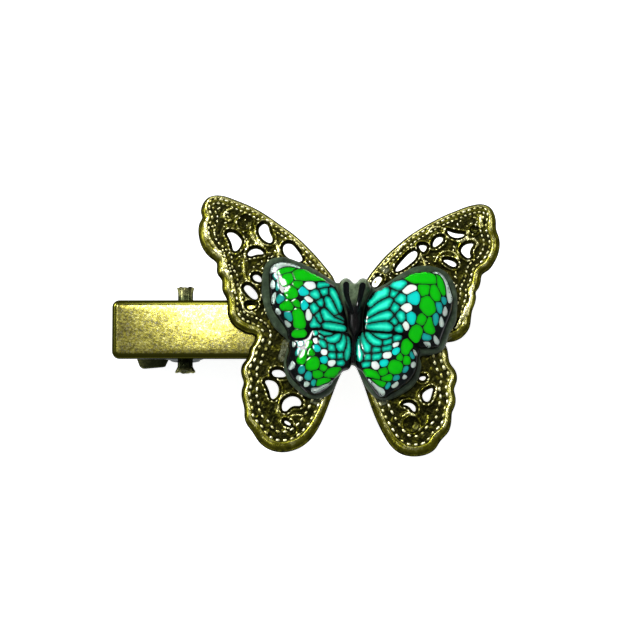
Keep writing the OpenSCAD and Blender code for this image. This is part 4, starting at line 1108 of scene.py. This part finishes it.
# Two lobes of the head
body_edge = bulging(body_edge, 0.2, 0.62, 1.05, (-1.5, 7.9), (1.35, 7.8))
SIDES = ("left", "right")
WINGS = [f"{side}_{pair}" for side in SIDES for pair in ("forewing", "hindwing")]
slices = {node: rounded(underside(node, BACKING_TOP), 0.22) for node in WINGS}


def reaching(node):
    """A slice's outline, spread where another slice or the body is close, so that they meet."""
    edge = slices[node]
    others = [slices[other] for other in WINGS if other != node] + [body_edge]
    space = distance(edge, others)
    return widened(edge, np.where(space < 1.3, space / 2 + 0.08, 0.0), 0.22, 4)


reached = {node: reaching(node) for node in WINGS}
SLICE_LOW = BACKING_TOP - 0.35
domes = {}
for node, partner in zip(WINGS, (WINGS[1], WINGS[0], WINGS[3], WINGS[2])):
    edge = reached[node]
    dome = domed(edge, SLICE_LOW, WING_TOP + 0.3 - SLICE_LOW, 0.5, 0.42, reached[partner])
    domes[node] = (edge, dome)
    shape, gap = shell([edge], 0.3, dome, SLICE_LOW - 0.05, (0.02, 0.07, 0.16, 0.3, 0.5, 0.75))
    glossy = ("black_clay", black_clay, varnish[node.split("_")[0]])
    piece(node + "_slice", shape, ARM, node, *glossy, depth=smooth_step(gap / 2.0))


def wing_height(points, side):
    """Height of the glossy wing surface above any point of one side."""
    heights = []
    for node in WINGS:
        if node.startswith(side):
            edge, dome = domes[node]
            heights.append(np.where(within(points, [edge]), dome(points), BACKING_TOP - 0.2))
    return np.maximum(*heights)


# How far each kind of cell spreads towards its neighbours, and the width of its darker edge
SPREAD = {"fan": 0.75, "green": 0.6, "turquoise": 0.36, "teal": 0.26, "white": 0.24, "edge": 0.16}
DARK_EDGE = {"fan": 0.75, "green": 0.4}
# Width of the dark line between two cells
LINE = 0.13


def grown(loop, others, edges, most):
    """A cell's outline spread until only a thin dark line is left round it."""
    loop = spaced(loop, 0.12)
    room = (distance(loop, others) - LINE) / 2
    room = np.minimum(room, distance(loop, edges) - 0.07)
    return widened(loop, np.clip(room, -0.12, most), 0.13, 3)


for side in SIDES:
    edges = [reached[node] for node in WINGS if node.startswith(side)]
    found = {k: flat_loops(f"{side}_{k}_cells", 2, WING_TOP, 1)[0] for k in CELL_TONES}
    every = [(kind, spaced(loop, 0.2)) for kind, loops in found.items() for loop in loops]
    for kind, paint in paints.items():
        node = f"{side}_{kind}_cells"
        parts = []
        depths = []
        for own, (its_kind, loop) in enumerate(every):
            if its_kind != kind:
                continue
            others = [other for i, (_, other) in enumerate(every) if i != own]
            shape, gap = shell(
                [grown(loop, others, edges, SPREAD[kind])],
                0.2,
                lambda p, d: wing_height(p, side) + 0.018 - 0.018 * np.exp(-d / 0.03),
                lambda p, d: wing_height(p, side) - 0.3,
                (0.05,),
            )
            parts.append(shape)
            depths.append(np.clip(gap / DARK_EDGE.get(kind, 0.4), 0, 1))
        glossy = (CELL_SLOTS[kind], paint, varnish[side])
        depth = np.concatenate(depths)
        piece(node + "_inlay", joined(parts), ARM, node, *glossy, crease=50, depth=depth)

# Middle lines of the feelers, from their upper ends
FEELERS = {
    "left_antenna": [(-1.5, 7.2), (-1.5, 6), (-1.2, 4.8), (-0.75, 3.6), (-0.5, 2.6)],
    "right_antenna": [(1.2, 7.05), (0.95, 6), (0.7, 4.8), (0.45, 3.7), (0.3, 2.6)],
}
BODY_LOW = BACKING_TOP - 0.1
body_dome = domed(body_edge, BODY_LOW, BODY_TOP - 0.05 - BODY_LOW, 0.7, 0.62)


def body_height(points, gap=None):
    """Height of the body, with a lobe of the head under the upper end of each feeler."""
    z = body_dome(points)
    for line in FEELERS.values():
        off = np.linalg.norm(points - CLAY_AT - line[0], axis=1)
        z = z + 0.5 * np.exp(-((off / 0.95) ** 2)) * smooth_step((z - BACKING_TOP) / 0.9)
    return np.minimum(z, BODY_TOP - 0.12)


shape, _ = shell([body_edge], 0.2, body_height, BODY_LOW - 0.05, (0.02, 0.07, 0.16, 0.3, 0.45))
head = smooth_step((shape[0][:, 1] - CLAY_AT[1] - 3.2) / 2.2)
piece("clay_body_roll", shape, ARM, "clay_body", "body_clay", body_clay(), right, head=head)

for node, line in FEELERS.items():
    flat, _ = along(softened(np.array(line) + CLAY_AT, 2, False), 0.2)
    path = np.column_stack([flat, body_height(flat) - 0.12])
    points, faces = swept(path, 0.56 - 0.24 * np.linspace(0, 1, len(path)))
    points[:, 2] = np.minimum(points[:, 2], BODY_TOP + 0.02)
    glossy = ("black_clay", black_clay, right)
    depth = np.full(len(points), 0.3)
    piece(node + "_stroke", (points, faces), ARM, node, *glossy, depth=depth)

# ---- clip ---------------------------------------------------------------------

arm_low, arm_high = box_of("top_arm")
HALF_WIDTH = 4.9
SHEET = 0.8
MIDDLE = PIN[1]
PIN_XZ = PIN[[0, 2]]


def rounded_ring(off, z, radius=1.2, steps=8):
    """A ring of points around the plate, moved inwards by off."""
    r = max(radius - off, 0.12)
    reach = np.array([arm_high[0] - arm_low[0], 2 * HALF_WIDTH]) / 2 - off - r
    middle = ((arm_low[0] + arm_high[0]) / 2, MIDDLE)
    ring = []
    for quarter, corner in enumerate(((1, 1), (-1, 1), (-1, -1), (1, -1))):
        turn = math.pi / 2 * (quarter + np.arange(steps + 1) / steps)
        flat = middle + reach * corner + r * np.column_stack([np.cos(turn), np.sin(turn)])
        ring += [(x, y, z) for x, y in flat]
    return np.array(ring)


plate_low = PLATE_TOP - 1.6
inner_top = PLATE_TOP - SHEET
# The plate's section, from the middle of its lower face round its edge to the upper face
PLATE_RINGS = [
    (4.2, inner_top),
    (1.3, inner_top),
    (0.95, inner_top - 0.1),
    (0.82, inner_top - 0.3),
    (0.8, plate_low + 0.12),
    (0.68, plate_low),
    (0.12, plate_low),
    (0.0, plate_low + 0.12),
    (0.0, PLATE_TOP - 0.55),
    (0.05, PLATE_TOP - 0.36),
    (0.16, PLATE_TOP - 0.21),
    (0.34, PLATE_TOP - 0.12),
    (0.62, PLATE_TOP - 0.085),
    (0.72, PLATE_TOP - 0.08),
    (0.82, PLATE_TOP - 0.05),
    (0.95, PLATE_TOP - 0.025),
    (1.6, PLATE_TOP - 0.012),
    (2.8, PLATE_TOP),
    (4.2, PLATE_TOP),
]
rings = [rounded_ring(off, z) for off, z in PLATE_RINGS]
# Painted shade off the top face: one for the flat top face, nought for the rounded edge, the sides and
# the underside.
lit_top_face = [smooth_step((off - 0.7) / 0.25) * (z > PLATE_TOP - 0.1) for off, z in PLATE_RINGS]
parts = [tube(rings)]

ear = [(-3.75, 3.2), (3.4, 3.2), (3.1, 2), (2.45, 0.6), (2.5, 0)]
ear += [(2.5 * math.cos(t), 2.5 * math.sin(t)) for t in np.radians(np.linspace(-8, -172, 15))]
ear += [(-2.5, 0), (-2.6, 0.8), (-3.2, 2)]
ear = np.array(ear)[::-1] + PIN_XZ
circle = np.radians(np.arange(0, 360, 12))
bore = 1.29 * np.column_stack([np.cos(circle), np.sin(circle)]) + PIN_XZ
for sign in (1, -1):
    faces_y = sorted(MIDDLE + sign * (HALF_WIDTH - off) for off in (SHEET, 0.01))
    parts.append(side_plate([ear, bore], *faces_y, 0.14))
shape = joined(parts)
proud = np.zeros(len(shape[0]))
proud[: len(parts[0][0])] = np.repeat(lit_top_face, len(rings[0]))
top_plate = ("top_arm", "aged_bronze_plate", plate_bronze(), every_metal, plate_only)
piece("clip_top_plate", shape, ARM, *top_plate, crease=40, proud=proud)

# hinge pin: a rolled tube whose ends are split and flared
pin_low, pin_high = box_of("hinge_pin")
PIN_R = 1.275
PIN_WALL = 0.33
PIN_SIDES = 56
turn = np.arange(PIN_SIDES) * 2 * math.pi / PIN_SIDES
ragged = 0.5 * np.sin(5 * turn + 0.6) + 0.3 * np.sin(11 * turn) + 0.2 * np.sin(3 * turn + 2)
FLARES = [
    # end, way inwards, flares at distances from the end
    (pin_low[1], 1, ((0.0, 0.42), (0.35, 0.3), (0.8, 0.1), (1.1, 0.0), (3.0, 0.0))),
    (pin_high[1], -1, ((3.0, 0.0), (1.1, 0.0), (0.8, 0.03), (0.35, 0.1), (0.0, 0.2))),
]
rings = []
for wall in (0, PIN_WALL):
    wall_rings = []
    for end, way, steps in FLARES:
        for far, flare in steps:
            y = end + way * (far + 0.28 * np.exp(-far / 0.5) * (0.5 + 0.5 * ragged))
            radius = np.minimum(PIN_R + flare * (1 + 0.12 * ragged) - wall, PIN_R + 0.44)
            x, z = radius * np.cos(turn) + PIN[0], radius * np.sin(turn) + PIN[2]
            wall_rings.append(np.column_stack([x, y, z]))
    rings += wall_rings[::-1] if wall else wall_rings
shape = tube(rings, closed=True)
proud = 0.35 + 0.3 * smooth_step((np.abs(shape[0][:, 1] - MIDDLE) - 5.6) / 1.2)
tubular = ("hinge_pin", "aged_bronze_pin", pin_paint, metal, every_metal)
piece("hinge_pin_tube", shape, ARM, *tubular, crease=45, proud=proud)


def section(half, h):
    """Section of a strip, across and up: half its width and height, with rounded sides."""
    r = 0.85 * h
    found = []
    for way in (1, -1):
        for degrees in (80, 45, 10, -10, -45, -80):
            t = math.radians(degrees)
            found.append((way * (half - r + r * math.cos(t)), way * h * math.sin(t)))
        found += [(way * k * half, -way * h) for k in (0.6, 0.2, -0.2, -0.6)]
    return found


# Handle tab, bends and jaw of the lower arm, along its middle
STRIP = [(-8.2, -6.98), (-3.4, -3.9), (-2, -2.9), (2, -2.9), (32.4, 0.6)]
WEB_HALF = 3.85
HANDLE_HALF = 5.4
CORNER = 1.3
rings = []
centre, way = along(softened(np.array(STRIP) + PIN_XZ, 2, False), 0.45)
for c, w, s in zip(centre, way, lengths(centre)):
    wide = HANDLE_HALF
    if s < CORNER:
        wide -= CORNER - math.sqrt(CORNER**2 - (CORNER - s) ** 2)
    wide += (WEB_HALF - wide) * smooth_step((s - 5.3) / 1.1)
    rings.append([(c[0] - w[1] * z, MIDDLE + y, c[1] + w[0] * z) for y, z in section(wide, SHEET / 2)])
parts = [tube(rings)]
for sign in (1, -1):
    outer_y = MIDDLE + sign * 3.9
    outline, holes = flat_loops("lower_arm", 1, outer_y, sign)
    loops = [max(outline, key=area)] + [hole for hole in holes if area(hole) > 2]
    parts.append(side_plate(loops, *sorted((outer_y, outer_y - sign * SHEET)), 0.14, 0.3))
shape = joined(parts)
# Lighter on the handle tab than along the jaw.
proud = 0.3 + 0.3 * smooth_step((PIN[0] - 3.2 - shape[0][:, 0]) / 4)
lower = ("lower_arm", "aged_bronze_plate", shaded_clip_paint, every_metal)
piece("clip_lower_arm", shape, JAW, *lower, crease=40, proud=proud)

# torsion spring
WIRE_R = 0.4
COIL_R = 1.85
COIL_HALF = 2.4
TURNS = 5
LEG_LOW = (-6.2, -4.7)
LEG_HIGH = (-8.6, 3.0)


def leg_angle(leg, sign):
    """Angle on the coil where a straight leg leaves it."""
    return math.atan2(leg[1], leg[0]) + sign * math.acos(COIL_R / math.hypot(*leg))


start = leg_angle(LEG_LOW, -1)
turned = -(2 * math.pi * (TURNS - 1) + (start - leg_angle(LEG_HIGH, 1)) % (2 * math.pi))
t = np.linspace(0, 1, TURNS * 32 + 1)
turn = start + turned * t
coil = np.column_stack([COIL_R * np.cos(turn), COIL_HALF * (2 * t - 1), COIL_R * np.sin(turn)])
leg_a = np.linspace((LEG_LOW[0], -COIL_HALF, LEG_LOW[1]), coil[0], 10)[:-1]
leg_b = np.linspace(coil[-1], (LEG_HIGH[0], COIL_HALF, LEG_HIGH[1]), 12)[1:]
shape = swept(np.vstack([leg_a, coil, leg_b]) + PIN, WIRE_R)
wire = ("torsion_spring", "spring_steel", steel_paint(), every_metal)
spring = piece("torsion_spring_wire", shape, None, *wire)
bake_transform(spring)
